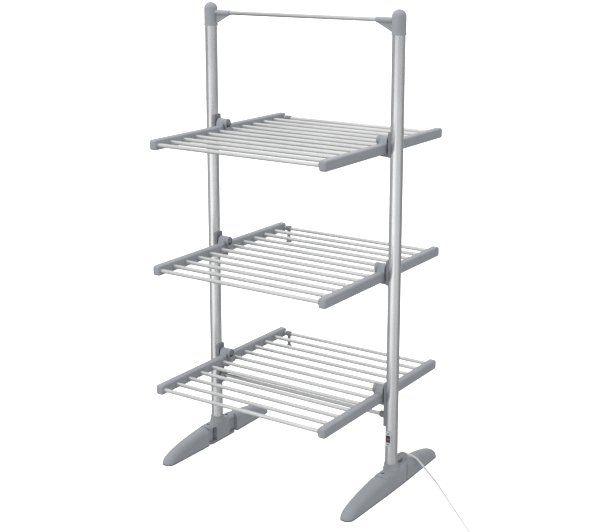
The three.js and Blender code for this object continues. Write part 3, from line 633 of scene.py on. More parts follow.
def coil_line(start, heading):
    """In on the lower layer, up in a climb, out on the upper layer, and a straight tail."""
    side = Vector((heading.y, -heading.x, 0))
    entry = start + heading * (2 * LEAD_RADIUS + SEAT_GAP)
    centre = entry + side * COIL_OUTER_RADIUS
    turns = COIL_LOWER_TURNS + COIL_CLIMB_TURNS + COIL_UPPER_TURNS
    steps = round(turns * COIL_STEPS_PER_TURN)
    points = []
    for step in range(steps + 1):
        turn = turns * step / steps
        above = min(max((turn - COIL_LOWER_TURNS) / COIL_CLIMB_TURNS, 0), 1)
        from_reversal = max(COIL_LOWER_TURNS - turn, turn - COIL_LOWER_TURNS - COIL_CLIMB_TURNS, 0)
        radius = COIL_INNER_RADIUS + COIL_PITCH * from_reversal
        angle = -2 * math.pi * turn
        spot = centre - side * (radius * math.cos(angle)) - heading * (radius * math.sin(angle))
        spot.z = centre.z + COIL_PITCH * above * above * (3 - 2 * above)
        points.append(spot)
    way = last_way(points)
    for half in range(2):
        points.append(points[-1] + way * COIL_TAIL / 2)
    return points, way


def tube_along(bm, line, radius, sides, end_radius=None):
    """A round tube along a line, which may taper."""
    rings = []
    last_radius = radius if end_radius is None else end_radius
    for i, point in enumerate(line):
        thick = radius + (last_radius - radius) * i / (len(line) - 1)
        ahead = line[min(i + 1, len(line) - 1)]
        behind = line[max(i - 1, 0)]
        way = (ahead - behind).normalized()
        across = Vector((way.y, -way.x, 0)).normalized()
        up = across.cross(way).normalized()
        angles = [2 * math.pi * k / sides for k in range(sides)]
        rings.append([point + across * (thick * math.cos(a)) + up * (thick * math.sin(a)) for a in angles])
    loft(bm, rings)


def make_lead():
    route = [Vector(point) / MM for point in LEAD_ROUTE]
    free = catmull_rom(route)
    coil, way = coil_line(route[-1], last_way(route))
    line = free + coil
    bm = made(tube_along, line, LEAD_RADIUS, LEAD_SIDES)
    lead = piece("mains_lead", bm, "frame", "white_plastic", WHITE_PLASTIC, "lead", "lead_coil")
    plug, blades = make_plug(line[-1] + way * SEAT_GAP, way)
    relief = make_relief(free)


def make_relief(line):
    """The ribbed sleeve on the post, its soft end along the lead, and the guide under it on the foot."""
    first = RELIEF_SINK + RELIEF_FLANGE_THICKNESS
    last = RELIEF_SINK + RELIEF_LENGTH
    rim = RELIEF_SINK + RELIEF_FLANGE_THICKNESS * RELIEF_FLANGE_RIM_SHARE
    profile = [(0, 0), (RELIEF_FLANGE, 0), (RELIEF_FLANGE, rim),
               (RELIEF_FLANGE * RELIEF_FLANGE_TOP_SHARE, first)]
    pitch = (last - first) / RELIEF_RIBS
    for rib in range(RELIEF_RIBS):
        for share, drop in RIB_STEPS:
            distance = first + pitch * (rib + share)
            taper = (distance - first) / (last - first)
            thick = RELIEF_ROOT + (RELIEF_TIP - RELIEF_ROOT) * taper
            profile.append((thick - drop * RELIEF_GROOVE, distance))
    profile += [(RELIEF_TIP - RELIEF_END_EDGE, last), (0, last)]
    start = Vector((POST_X, POST_RADIUS - RELIEF_SINK, RELIEF_HEIGHT))
    bm = made(turned, profile, Y, start, SMALL_SIDES)
    bm = carved(bm, post_room(POST_X, 0, 2 * RELIEF_HEIGHT))
    length = 0
    soft = [line[0] - Y]
    for a, b in zip(line, line[1:]):
        length += (b - a).length
        if length < SLEEVE_LENGTH:
            soft.append(b)
    tube_along(bm, soft, RELIEF_TIP, SMALL_SIDES, SLEEVE_END)
    make_guide()
    return piece("lead_sleeve", bm, "frame", "grey_plastic", GREY_PLASTIC, "lead_relief")


def make_guide():
    """The moulded guide behind the post: a rib under the sleeve, an arch over the pin well, and a lip."""
    middle = POST_X + LEAD_RADIUS / 2
    lip = FOOT_HEIGHT + LEG_TOP_CLEARANCE
    outline = [
        (POST_BORE, GUIDE_RIB), (GUIDE_NEAR, GUIDE_RIB), (GUIDE_NEAR, FOOT_HEIGHT - OVERRUN),
        (GUIDE_FAR, FOOT_HEIGHT - OVERRUN), (GUIDE_FAR, lip), (GUIDE_END, lip), (GUIDE_END, GUIDE_LOW_TOP),
        (GUIDE_FAR, GUIDE_TOP), (POST_BORE, GUIDE_TOP)]
    guide = made(prism, outline, "x", *about(middle, GUIDE_HALF_WIDTH), GUIDE_EDGE)
    piece("lead_guide", guide, "frame", "grey_plastic", GREY_PLASTIC)


def make_plug(start, way):
    """A three-pin plug that lies on its back, with a ringed sleeve; it is drawn along x and then turned."""
    middle = LEAD_RADIUS + PLUG_FLOOR_GAP + COIL_PITCH
    height = 2 * middle
    near = PLUG_SLEEVE
    far = PLUG_SLEEVE + PLUG_LENGTH
    shoulder = PLUG_SLEEVE + PLUG_LENGTH / 3
    upper = [(far, PLUG_HALF_WIDTH - PLUG_CORNER), (far - PLUG_CORNER, PLUG_HALF_WIDTH),
             (shoulder, PLUG_HALF_WIDTH), (near, PLUG_NECK_HALF_WIDTH)]
    outline = [(along, -across) for along, across in upper[::-1]] + upper
    bm = made(prism, outline, "z", 0, height, PLUG_EDGE, BROAD_EDGE_STEPS)
    tip = LEAD_RADIUS + SEAT_GAP
    profile = [(0, 0), (tip, 0)]
    for turn in range(PLUG_SLEEVE_RINGS):
        for share, drop in RING_STEPS:
            distance = (turn + share) * PLUG_SLEEVE / PLUG_SLEEVE_RINGS
            grown = (PLUG_SLEEVE_ROOT - tip - drop * PLUG_SLEEVE_GROOVE) * distance / PLUG_SLEEVE
            profile.append((tip + grown, distance))
    profile += [(PLUG_SLEEVE_ROOT, near), (PLUG_SLEEVE_ROOT, near + OVERRUN), (0, near + OVERRUN)]
    turned(bm, profile, X, Vector((0, 0, middle)), SMALL_SIDES)
    live = near + PLUG_LIVE_PIN_OFFSET
    half = PLUG_PIN_THICKNESS / 2
    wide = PLUG_PIN_WIDTH / 2
    outlines = [rectangle(*about(live, wide), *about(y, half)) for y in about(0, PLUG_PIN_SPREAD)]
    earth = live + PLUG_EARTH_OFFSET
    wide = PLUG_EARTH_PIN_WIDTH / 2
    outlines.append(rectangle(*about(earth, half), *about(0, wide)))
    pins = bmesh.new()
    for outline in outlines:
        prism(pins, outline, "z", middle, height - SEAT_GAP + PLUG_PIN_LENGTH, SOFT_EDGE)
    turn = Matrix.Rotation(math.atan2(way.y, way.x), 4, "Z")
    turn.translation = (start.x, start.y, 0)
    bm.transform(turn)
    pins.transform(turn)
    plug = piece("mains_plug", bm, "frame", "white_plastic", WHITE_PLASTIC, "plug")
    return plug, piece("plug_pins", pins, "frame", "pin_steel", STEEL)


make_lead()


# Posts, caps and the bars across them

def post_shape():
    low = POST_SEAT + SEAT_GAP
    high = OVERALL_HEIGHT - CAP_CROWN - SEAT_GAP
    inside = POST_RADIUS - POST_WALL
    profile = [(POST_RADIUS, low), (POST_RADIUS, high), (inside, high), (inside, low)]
    return made(turned, profile, Z, Vector((-POST_X, 0, 0)), POST_SIDES, looped=True)


def make_posts():
    piece("left_post_tube", post_shape(), "frame", "post_aluminium", POST_METAL, "left_post")
    right = post_shape()
    mirror(right, x=-1)
    side = SWITCH_HALF_WIDTH + SEAT_GAP
    tall = SWITCH_HALF_HEIGHT + SEAT_GAP
    slot = box(*about(POST_X, side), -POST_RADIUS - OVERRUN, 0, *about(SWITCH_HEIGHT, tall))
    right = carved(right, slot)
    piece("right_post_tube", right, "frame", "post_aluminium", POST_METAL, "right_post")


def cap_shape():
    outer = POST_BORE + CAP_WALL
    bottom = OVERALL_HEIGHT - CAP_LENGTH
    inside = CAP_LENGTH - CAP_CROWN
    lip = outer + CAP_LIP
    profile = [
        (0, inside), (POST_BORE, inside), (POST_BORE, 0), (lip - FINE_EDGE, 0), (lip, FINE_EDGE),
        (lip, CAP_LIP_HEIGHT - FINE_EDGE), (lip - FINE_EDGE / 2, CAP_LIP_HEIGHT),
        (outer, CAP_LIP_HEIGHT + CAP_LIP)]
    profile += arc((0, CAP_LENGTH - CAP_DOME), 0, 90, DOME_STEPS, outer, CAP_DOME)
    bm = made(turned, profile, Z, Vector((-POST_X, 0, bottom)), POST_SIDES)
    socket = BAR_RADIUS + SEAT_GAP + SOCKET_WALL
    start = inward(outer - 2 * CAP_WALL)
    rod(bm, X, socket, start, inward(SOCKET_REACH), (0, 0, TOP_BAR_HEIGHT), ROUND_SIDES, SOFT_EDGE)
    root = inward(outer - CAP_WALL)
    reach = inward(SOCKET_REACH - BOSS_WALL)
    gusset = [(root, TOP_BAR_HEIGHT), (reach, TOP_BAR_HEIGHT), (reach, TOP_BAR_HEIGHT - socket),
              (root, bottom + CAP_LIP_HEIGHT)]
    prism(bm, gusset, "y", *about(0, GUSSET_THICKNESS / 2), FINE_EDGE)
    return bm


def make_caps():
    for name, sign in SIDES:
        bm = cap_shape()
        mirror(bm, x=sign)
        piece(f"{name}_cap", bm, "frame", "grey_plastic", GREY_PLASTIC, f"{name}_post_cap")


def make_cross_bars():
    low_end = BRACKET_FACE + BRACKET_WALL + SEAT_GAP
    for name, node, height, end in (
            ("top_rail", "top_bar", TOP_BAR_HEIGHT, ARM_OUTER),
            ("low_rail", "lower_crossbar", CROSSBAR_HEIGHT, low_end)):
        bm = made(rod, X, BAR_RADIUS, inward(end), -inward(end), (0, 0, height), BAR_SIDES, FINE_EDGE)
        piece(name, bm, "frame", "post_aluminium", CROSS_METAL, node)


# Hinge brackets and pins

# A screw's head as shares of its radius and rise, and its cross recess as shares of the same two
SCREW_PROFILE = [(0, -1), (1, -1), (1, 0.2), (0.8, 0.7), (0.45, 1), (0, 1)]
RECESS_DEPTHS = (0.3, 2)
RECESS_REACH = 0.6
RECESS_HALF_WIDTH = 0.14


def bracket_shape(height, is_bottom):
    top = height + BRACKET_ABOVE
    ledge_top = height - ARM_HALF - SEAT_GAP
    bottom = CROSSBAR_HEIGHT - BRACKET_TAIL if is_bottom else ledge_top - LEDGE_THICKNESS
    outline = arched(BRACKET_HALF_WIDTH, bottom, top, BRACKET_CORNER)
    back = inward(BRACKET_FACE - BRACKET_DEPTH)
    bm = made(prism, outline, "x", back, inward(BRACKET_FACE), BRACKET_EDGE, BROAD_EDGE_STEPS)
    bm = carved(bm, post_room(-POST_X, bottom - OVERRUN, top + OVERRUN))
    ledge = rectangle(inward(BRACKET_FACE - BRACKET_WALL), inward(BRACKET_FACE + LEDGE_REACH),
                      *about(0, LEDGE_HALF_WIDTH), LEDGE_CORNER)
    prism(bm, ledge, "z", ledge_top - LEDGE_THICKNESS, ledge_top, BROAD_EDGE)
    if is_bottom:
        start = inward(BRACKET_FACE - OVERLAP)
        end = inward(BRACKET_FACE + CROSSBAR_SOCKET_LENGTH)
        centre = (0, 0, CROSSBAR_HEIGHT)
        rod(bm, X, CROSSBAR_SOCKET_RADIUS, start, end, centre, ROUND_SIDES, BROAD_EDGE)
    return bm


def screw(bm, place, axis, radius, rise):
    """A small round-headed screw with a cross recess."""
    profile = [(radius * across, rise * up) for across, up in SCREW_PROFILE]
    head = made(turned, profile, axis, Vector(place), SMALL_SIDES)
    across, up = basis(axis)
    for long_way, short_way in ((across, up), (up, across)):
        rings = []
        for depth in RECESS_DEPTHS:
            centre = Vector(place) + axis * (rise * depth)
            a = long_way * (radius * RECESS_REACH)
            b = short_way * (radius * RECESS_HALF_WIDTH)
            rings.append([centre + a + b, centre - a + b, centre - a - b, centre + a - b])
        head = carved(head, made(loft, rings))
    add_into(bm, head)


def make_brackets():
    cap_start = inward(LUG_END + SEAT_GAP)
    cap_end = cap_start + PIN_HEAD
    for tier, height in TIERS.items():
        centre = (0, 0, height + PIVOT_RISE)
        for side, sign in SIDES:
            name = f"{side}_{tier}"
            bm = bracket_shape(height, tier == "bottom")
            pin = made(rod, X, PIN_RADIUS, inward(POST_BORE), inward(LUG_END + OVERLAP), centre, SMALL_SIDES)
            cap = made(rod, X, PIN_HEAD_RADIUS, cap_start, cap_end, centre, ROUND_SIDES, PIN_HEAD_EDGE)
            for shape in (bm, pin, cap):
                mirror(shape, x=sign)
            # The saddles and axle caps take the darker grey, which is partly painted shade in the notches
            # beside the arm roots.
            piece(f"{name}_saddle", bm, "frame", "grey_plastic", DARKER_GREY_AND_PAINTED_SHADE, f"{name}_bracket")
            piece(f"{name}_axle_cap", cap, "frame", "dark_plastic", DARKER_GREY_AND_PAINTED_SHADE)
            piece(f"{name}_axle", pin, "frame", "pin_steel", STEEL, f"{name}_hinge_pin")


# Arms and bars of the wings

def knuckle_space(height):
    """The room in a back arm's root in which the front arm's knuckle turns."""
    radius = KNUCKLE_RADIUS + 2 * TURNING_GAP
    return made(rod, X, radius, inward(0), inward(LUG_START), (0, 0, height + PIVOT_RISE), POST_SIDES)


def root_plan(end):
    """The root of an arm from above, with a round corner beside the bracket."""
    far = end * ROOT_REACH
    near = ARM_OUTER + ROOT_INSET
    inner = inward(ARM_INNER - ROOT_INSET)
    corner = arc((near + ROOT_ROUND, ROOT_GAP + ROOT_ROUND), -90, -90, ROOT_STEPS, ROOT_ROUND)
    plan = [(inward(near), far), (inner, far), (inner, end * ROOT_GAP)]
    return plan + [(inward(across), end * along) for across, along in corner]


def front_knuckle(height):
    """The knuckle in line with a front arm, on a leaning web, and its spacer beside the bracket."""
    outer = inward(ARM_OUTER)
    inner = inward(ARM_INNER)
    pivot = height + PIVOT_RISE
    high = height + ARM_HALF - ARM_EDGE
    lean = math.radians(WEB_LEAN_DEGREES)
    touch = (-KNUCKLE_RADIUS * math.cos(lean), pivot + KNUCKLE_RADIUS * math.sin(lean))
    bm = made(prism, [(-WEB_REACH, high), (-ROOT_GAP, high), (0, pivot), touch], "x", outer, inner, SOFT_EDGE)
    rod(bm, X, KNUCKLE_RADIUS, outer, inner, (0, 0, pivot), POST_SIDES, SOFT_EDGE)
    rod(bm, X, SPACER_RADIUS, outer - SPACER_LENGTH, inner, (0, 0, pivot), ROUND_SIDES)
    return bm


def back_lug(height):
    """The lug of a back arm, just inside the front knuckle, on a cheek with a link to the arm."""
    start = inward(LUG_START)
    end = inward(LUG_END)
    pivot = height + PIVOT_RISE
    low = height - ARM_HALF + ARM_EDGE
    high = height + ARM_HALF / 2
    lean = math.radians(CHEEK_LEAN_DEGREES)
    rise = KNUCKLE_RADIUS * math.sin(lean)
    run = KNUCKLE_RADIUS * math.cos(lean)
    cheek = [(ROOT_GAP, low), (LUG_REACH, low), (LUG_REACH, high), (run, pivot + rise), (0, pivot),
             (-rise, pivot - run)]
    bm = made(prism, cheek, "x", start, end, SOFT_EDGE)
    outline = rectangle(ROOT_GAP, LUG_REACH, low, high)
    link = made(prism, outline, "x", inward(ARM_INNER - ARM_WALL), start + OVERLAP)
    add_into(bm, carved(link, knuckle_space(height)))
    rod(bm, X, KNUCKLE_RADIUS, start, end, (0, 0, pivot), POST_SIDES, SOFT_EDGE)
    return bm


def arm_shape(height, end):
    inner = inward(ARM_INNER)
    outline = rectangle(*sorted((end * ROOT_GAP, end * ARM_END)), *about(height, ARM_HALF), ARM_TIP_RADIUS)
    beam = made(prism, outline, "x", inward(ARM_OUTER), inner, ARM_EDGE, BROAD_EDGE_STEPS)
    root = made(prism, root_plan(end), "z", *about(height, ARM_HALF - ROOT_INSET), ROOT_EDGE)
    if end < 0:
        bm = front_knuckle(height)
    else:
        bm = back_lug(height)
        beam = carved(beam, knuckle_space(height))
        root = carved(root, knuckle_space(height))
    add_into(bm, beam)
    add_into(bm, root)
    boss = BAR_RADIUS + SEAT_GAP + BOSS_WALL
    for y in bar_places(end):
        rod(bm, X, boss, inner - ARM_WALL, inner + BOSS_HEIGHT, (0, y, height), ROUND_SIDES, SOFT_EDGE)
    return bm


def bar_places(end):
    return [end * (FIRST_BAR + bar * BAR_PITCH) for bar in range(BARS_PER_WING)]


def make_wings():
    for tier, height in TIERS.items():
        for wing, end in (("front", -1), ("back", 1)):
            name = f"{tier}_{wing}"
            body = f"{name}_wing"
            for side, sign in SIDES:
                bm = arm_shape(height, end)
                mirror(bm, x=sign)
                piece(f"{name}_{side}_beam", bm, body, "grey_plastic", GREY_PLASTIC, f"{name}_{side}_arm")
            bars = bmesh.new()
            for y in bar_places(end):
                centre = (0, y, height)
                rod(bars, X, BAR_RADIUS, inward(BAR_END), -inward(BAR_END), centre, BAR_SIDES, FINE_EDGE)
            piece(f"{name}_rails", bars, body, "bar_aluminium", BAR_METAL, f"{name}_bars")


def make_clips():
    x0 = inward(CLIP_INSET)
    x1 = inward(CLIP_INSET + CLIP_WIDTH)
    s0 = (x0 + x1 - CLIP_STRAP_WIDTH) / 2
    s1 = s0 + CLIP_STRAP_WIDTH
    inner = BAR_RADIUS + SEAT_GAP
    outer = inner + CLIP_WALL
    for tier, height in TIERS.items():
        low = height - 2 * PIVOT_RISE
        bm = made(rod, X, outer, x0, x1, (0, LAST_BAR, height), ROUND_SIDES, SMALL_EDGE)
        fork = made(rod, X, outer, s0, s1, (0, LAST_BAR, low), ROUND_SIDES, SMALL_EDGE)
        outline = rectangle(*about(LAST_BAR, CLIP_STRAP / 2), low, height)
        strap = made(prism, outline, "x", s0, s1, SMALL_EDGE)
        bm = carved(bm, fork, strap, operation="UNION")
        holes = [made(rod, X, inner, x0 - OVERRUN, x1 + OVERRUN, (0, LAST_BAR, z), ROUND_SIDES)
                 for z in (height, low)]
        top = low - CLIP_MOUTH_OVERHANG
        mouth = made(prism, rectangle(*about(LAST_BAR, outer), top - outer, top), "x", x0, x1)
        bm = carved(bm, *holes, mouth)
        piece(f"{tier}_bar_clip", bm, f"{tier}_clip", "dark_plastic", DARKER_GREY_AND_PAINTED_SHADE, f"{tier}_storage_clip")


# Feet

def foot_section(y, half_width, height):
    radius = min(FOOT_ROUND, half_width, height - SOLE_HEIGHT / 2)
    points = [(-half_width, SOLE_HEIGHT / 2)]
    for centre, first in ((radius - half_width, 180), (half_width - radius, 90)):
        points += arc((centre, height - radius), first, -90, FOOT_STEPS, radius)
    points.append((half_width, SOLE_HEIGHT / 2))
    return [Vector((x - POST_X, y, z)) for x, z in points]


def leg_half_width(along):
    straight = LEG_LENGTH - LEG_TIP_RADIUS
    if along <= straight:
        return FOOT_HALF_WIDTH + (LEG_TIP_RADIUS - FOOT_HALF_WIDTH) * along / straight
    return math.sqrt(max(LEG_TIP_RADIUS ** 2 - (along - straight) ** 2, 0))


def leg_height(along):
    share = along / LEG_LENGTH
    return max(FOOT_HEIGHT * (1 - share ** LEG_FULLNESS) ** (1 / LEG_ROUNDNESS), LEG_TIP_HEIGHT)


def leg_cuts():
    """The round gap at the root, the gap beside the hub and the pockets underneath."""
    pin_y = -LEG_PIN_OFFSET
    overhead = FOOT_HEIGHT + OVERRUN
    round_end = made(rod, Z, LEG_PIVOT_GAP, -OVERRUN, overhead, (-POST_X, pin_y, 0), POST_SIDES)
    inner_gap = box(inward(0), inward(FOOT_HALF_WIDTH + OVERRUN), pin_y - LEG_PIVOT_GAP, pin_y + OVERRUN,
                    -OVERRUN, overhead)
    cuts = [round_end, inner_gap]
    first = LEG_PIVOT_GAP + LEG_NECK_REACH + POCKET_RIB
    pitch = (LEG_LENGTH - LEG_TIP_RADIUS - POCKET_RIM - first) / POCKET_COUNT
    for pocket in range(POCKET_COUNT):
        near = first + pocket * pitch
        far = near + pitch - POCKET_RIB
        half = leg_half_width(far) - POCKET_RIM
        cuts.append(box(inward(-half), inward(half), pin_y - far, pin_y - near, -OVERRUN, POCKET_DEPTH))
    return cuts


def leg_stations():
    reach = LEG_LENGTH * LEG_LAST_STATION
    return [reach * math.sin(math.pi / 2 * station / LEG_STATIONS) for station in range(LEG_STATIONS + 1)]


def leg_shape():
    pin_y = -LEG_PIN_OFFSET
    bottom = HUB_FLOOR + TURNING_GAP
    top = FOOT_HEIGHT - HUB_ROOF - TURNING_GAP
    sections = [foot_section(pin_y - along, leg_half_width(along), leg_height(along))
                for along in leg_stations()]
    bm = carved(made(loft, sections), *leg_cuts())
    neck_end = pin_y - LEG_PIVOT_GAP - LEG_NECK_REACH
    add_into(bm, box(inward(-LEG_NECK_HALF_WIDTH), inward(LEG_NECK_HALF_WIDTH), neck_end, pin_y, bottom, top))
    rod(bm, Z, LEG_BARREL_RADIUS, bottom, top, (-POST_X, pin_y, 0), ROUND_SIDES, SMALL_EDGE)
    return bm


def leg_sole():
    """The rubber sole under a leg, which shows as a thin dark line round its foot: partly the sole's own dark
    colour, partly painted shade along the foot's bottom edge.
    """
    plan = []
    for side, row in ((-1, leg_stations()), (1, leg_stations()[::-1])):
        for along in row:
            across = side * (leg_half_width(along) + SOLE_RIM)
            plan.append((across - POST_X, -LEG_PIN_OFFSET - along))
    return carved(made(prism, plan, "z", 0, SOLE_HEIGHT), *leg_cuts())


def hub_pocket(end):
    top = FOOT_HEIGHT - HUB_ROOF
    radius = FOOT_HALF_WIDTH - HUB_OUTER_WALL
    barrel = made(rod, Z, radius, HUB_FLOOR, top, (-POST_X, end * LEG_PIN_OFFSET, 0), POST_SIDES)
    far = end * (LEG_PIN_OFFSET + LEG_PIVOT_GAP)
    near = end * HUB_HALF_BLOCK
    side = inward(FOOT_HALF_WIDTH + SWING_GAP)
    opening = box(inward(-LEG_NECK_HALF_WIDTH - SWING_GAP), side, near, far, HUB_FLOOR, top)
    keep = box(inward(-FOOT_HALF_WIDTH), side, near, far, 0, FOOT_HEIGHT)
    whole = carved(barrel, opening, operation="UNION")
    return carved(whole, keep, operation="INTERSECT")


def hub_plan(radius):
    plan = []
    for centre, first in ((LEG_PIN_OFFSET, 0), (-LEG_PIN_OFFSET, 180)):
        plan += arc((-POST_X, centre), first, 180, ROUND_SIDES, radius)
    return plan


def collar_shape():
    outer = POST_BORE + COLLAR_WALL
    base = FOOT_HEIGHT - FOOT_ROUND
    shoulder = FOOT_HEIGHT - FOOT_EDGE / 2
    climb = (COLLAR_TOP - FOOT_HEIGHT) * COLLAR_FLARE_SHARE
    profile = [(0, base), (outer + COLLAR_FLARE, base), (outer + COLLAR_FLARE, shoulder)]
    profile += arc((outer + COLLAR_FLARE, FOOT_HEIGHT + climb), -90, -90, DOME_STEPS, COLLAR_FLARE, climb)
    profile += [(outer, COLLAR_TOP - SOFT_EDGE), (outer - SOFT_EDGE, COLLAR_TOP), (0, COLLAR_TOP)]
    return made(turned, profile, Z, Vector((-POST_X, 0, 0)), POST_SIDES)


def hub_shape():
    reach = LEG_PIN_OFFSET + FOOT_HALF_WIDTH
    overhead = FOOT_HEIGHT + OVERRUN
    bar = made(loft, [foot_section(y, FOOT_HALF_WIDTH, FOOT_HEIGHT) for y in (-reach, reach)])
    stadium = made(prism, hub_plan(FOOT_HALF_WIDTH), "z", 0, overhead)
    bm = carved(bar, stadium, operation="INTERSECT")
    bm = carved(bm, collar_shape(), operation="UNION")
    tools = [post_room(-POST_X, POST_SEAT, COLLAR_TOP + OVERRUN), hub_pocket(-1), hub_pocket(1)]
    for y in about(0, LEG_PIN_OFFSET):
        for radius, bottom in ((LEG_PIN_RADIUS + SEAT_GAP, HUB_FLOOR / 2),
                               (PIN_WELL_RADIUS, FOOT_HEIGHT - PIN_WELL_DEPTH)):
            tools.append(made(rod, Z, radius, bottom, overhead, (-POST_X, y, 0), ROUND_SIDES))
    return carved(bm, *tools)


def make_feet():
    for side, x in SIDES:
        bm = hub_shape()
        # The dark soles under the hub and the legs draw a thin dark line round each foot, partly painted
        # shade where it meets the floor.
        sole = made(prism, hub_plan(FOOT_HALF_WIDTH + SOLE_RIM), "z", 0, SOLE_HEIGHT)
        mirror(bm, x=x)
        mirror(sole, x=x)
        piece(f"{side}_hub", bm, "frame", "grey_plastic", GREY_PLASTIC, f"{side}_foot_hub")
        piece(f"{side}_hub_sole", sole, "frame", "dark_plastic", RUBBER_AND_PAINTED_SHADE)
        for end, y in (("front", 1), ("back", -1)):
            bm = leg_shape()
            sole = leg_sole()
            pin = made(rod, Z, LEG_PIN_RADIUS, HUB_FLOOR / 2 + SEAT_GAP, FOOT_HEIGHT - LEG_PIN_SINK,
                       (-POST_X, -LEG_PIN_OFFSET, 0), SMALL_SIDES, FINE_EDGE)
            for shape in (bm, sole, pin):
                mirror(shape, x=x, y=y)
            leg = f"{side}_{end}_leg"
            name = f"{side}_{end}_foot"
            piece(f"{name}_leg", bm, leg, "grey_plastic", GREY_PLASTIC, leg)
            piece(f"{name}_sole", sole, leg, "dark_plastic", RUBBER_AND_PAINTED_SHADE)
            piece(f"{name}_axle", pin, "frame", "pin_steel", BLACK_STEEL, f"{leg}_pin")


# Switch

def switch_block(half_width, half_height, y0, y1):
    """An upright block on the middle of the switch."""
    return box(*about(POST_X, half_width), y0, y1, *about(SWITCH_HEIGHT, half_height))


def make_switch():
    front = -(POST_RADIUS + PLATE_FRONT)
    pivot_y = front + ROCKER_PIVOT_DEPTH
    tall = PLATE_LENGTH / 2
    outline = rectangle(*about(POST_X, PLATE_WIDTH / 2), *about(SWITCH_HEIGHT, tall), PLATE_CORNER)
    plate = made(prism, outline, "y", front, front + POST_RADIUS / 2, BROAD_EDGE)
    window = switch_block(SWITCH_HALF_WIDTH + SEAT_GAP, SWITCH_HALF_HEIGHT + SEAT_GAP, front - OVERRUN, 0)
    plate = carved(plate, window, post_room(POST_X, 0, 2 * SWITCH_HEIGHT))
    piece("switch_surround", plate, "frame", "pale_plastic", PALE_PLASTIC, "switch_plate")
    screws = bmesh.new()
    for z in about(SWITCH_HEIGHT, PLATE_SCREW_SPACING / 2):
        screw(screws, (POST_X, front, z), -Y, SCREW_RADIUS, SCREW_RISE)
    piece("switch_screws", screws, "frame", "pin_steel", BLACK_STEEL)
    start = front + SEAT_GAP
    housing = switch_block(SWITCH_HALF_WIDTH, SWITCH_HALF_HEIGHT, start, start + SWITCH_DEPTH)
    cavity = switch_block(SWITCH_HALF_WIDTH - SWITCH_WALL, SWITCH_HALF_HEIGHT - SWING_GAP,
                          front - OVERRUN, pivot_y + ROCKER_BACK + SWING_GAP)
    piece("switch_housing", carved(housing, cavity), "frame", "dark_plastic", DARK_PLASTIC, "switch_body")
    make_rocker(pivot_y)


def make_rocker(pivot_y):
    """The rocker and its lens, drawn level and then tipped."""
    pivot = (POST_X, pivot_y, SWITCH_HEIGHT)
    tip = Matrix.Rotation(math.radians(ROCKER_TILT_DEGREES), 3, "X")
    tall = ROCKER_HALF_HEIGHT
    outline = []
    for step in range(DOME_STEPS + 1):
        share = 1 - 2 * step / DOME_STEPS
        dip = ROCKER_DIP * (1 - share * share)
        outline.append((dip - ROCKER_RISE, share * tall))
    outline += [(0, -tall), (ROCKER_BACK, -ROCKER_WAIST), (ROCKER_BACK, ROCKER_WAIST), (0, tall)]
    outline = [(pivot_y + y, SWITCH_HEIGHT + z) for y, z in outline]
    bm = made(prism, outline, "x", *about(POST_X, ROCKER_HALF_WIDTH), FINE_EDGE)
    bmesh.ops.rotate(bm, cent=pivot, matrix=tip, verts=bm.verts)
    ends = about(POST_X, SWITCH_HALF_WIDTH - SEAT_GAP)
    rod(bm, X, TRUNNION_RADIUS, *ends, (0, pivot_y, SWITCH_HEIGHT), SMALL_SIDES)
    piece("rocker_cap", bm, "rocker", "red_plastic", RED_PLASTIC, "switch_rocker")
    face = pivot_y - ROCKER_RISE + ROCKER_DIP
    half = ROCKER_HALF_WIDTH / 2
    outline = rectangle(*about(POST_X, half), *about(SWITCH_HEIGHT, half), LENS_CORNER)
    lens = made(prism, outline, "y", face - LENS_PROUD, face + OVERLAP, LENS_EDGE)
    bmesh.ops.rotate(lens, cent=pivot, matrix=tip, verts=lens.verts)
    piece("rocker_lens", lens, "rocker", "pale_plastic", LENS_PLASTIC)


make_posts()
make_caps()
make_cross_bars()
make_brackets()
make_wings()
make_clips()
make_feet()
make_switch()


# Studio

STUDIO_RADIUS = 8
STUDIO_SEGMENTS = 48
# Grey values once round the walls, with places as shares of a turn
AROUND = [
    (0.0, 0.42), (0.07, 0.5), (0.12, 0.68), (0.17, 0.92), (0.21, 1.36), (0.275, 1.36), (0.33, 0.9),
    (0.38, 0.8), (0.43, 0.8), (0.5, 0.72), (0.57, 0.3), (0.72, 0.25), (0.77, 0.9), (0.83, 0.9),
    (0.87, 0.45), (1.0, 0.42)]
# Strength of the glow from one side wall to the other
SIDEWAYS = [(0.0, 1.0), (0.1, 0.85), (0.18, 0.65), (0.26, 1.6), (0.36, 1.08), (0.45, 1.0)]
# Bands over the walls: up or down from the middle, the cover over the height, and the grey
BANDS = [
    (1, [(0.02, 0), (0.08, 1), (0.2, 1), (0.34, 0)], 0.4),
    (1, [(0.4, 0), (0.65, 1)], 0.84),
    (-1, [(0.26, 0), (0.42, 1)], 0.34),
    (-1, [(0.8, 0), (0.92, 1)], 0.5)]
SKY_LEAN = (-0.35, -0.45, 0.82)
SKY_MEAN = 0.94
SKY_SLOPE = 0.3
FLOOR_HALF_SIZE = 30
FLOOR_THICKNESS = 0.02
FLOOR_TONE = 0.9
FLOOR_ROUGHNESS = 0.8
FLOOR_GLOW = 0.7
LAMP_TARGET = Vector((0, 0, 0.7))
# Name, place, size and power of each lamp
LAMPS = [("overhead", (-0.8, -1.2, 4.6), 3, 80), ("side", (-3.5, -3, 2.2), 2, 12)]


def opaque(value):
    return (value, value, value, 1)


def grey_ramp(tree, factor, stops):
    return ramp(tree, factor, [(place, grey(value)) for place, value in stops])


def math_node(tree, operation, first, second):
    """A sum of one output and another, or a plain value."""
    node = tree.nodes.new("ShaderNodeMath")
    node.operation = operation
    tree.links.new(first, node.inputs[0])
    if isinstance(second, bpy.types.NodeSocket):
        tree.links.new(second, node.inputs[1])
    else:
        node.inputs[1].default_value = second
    return node.outputs["Value"]


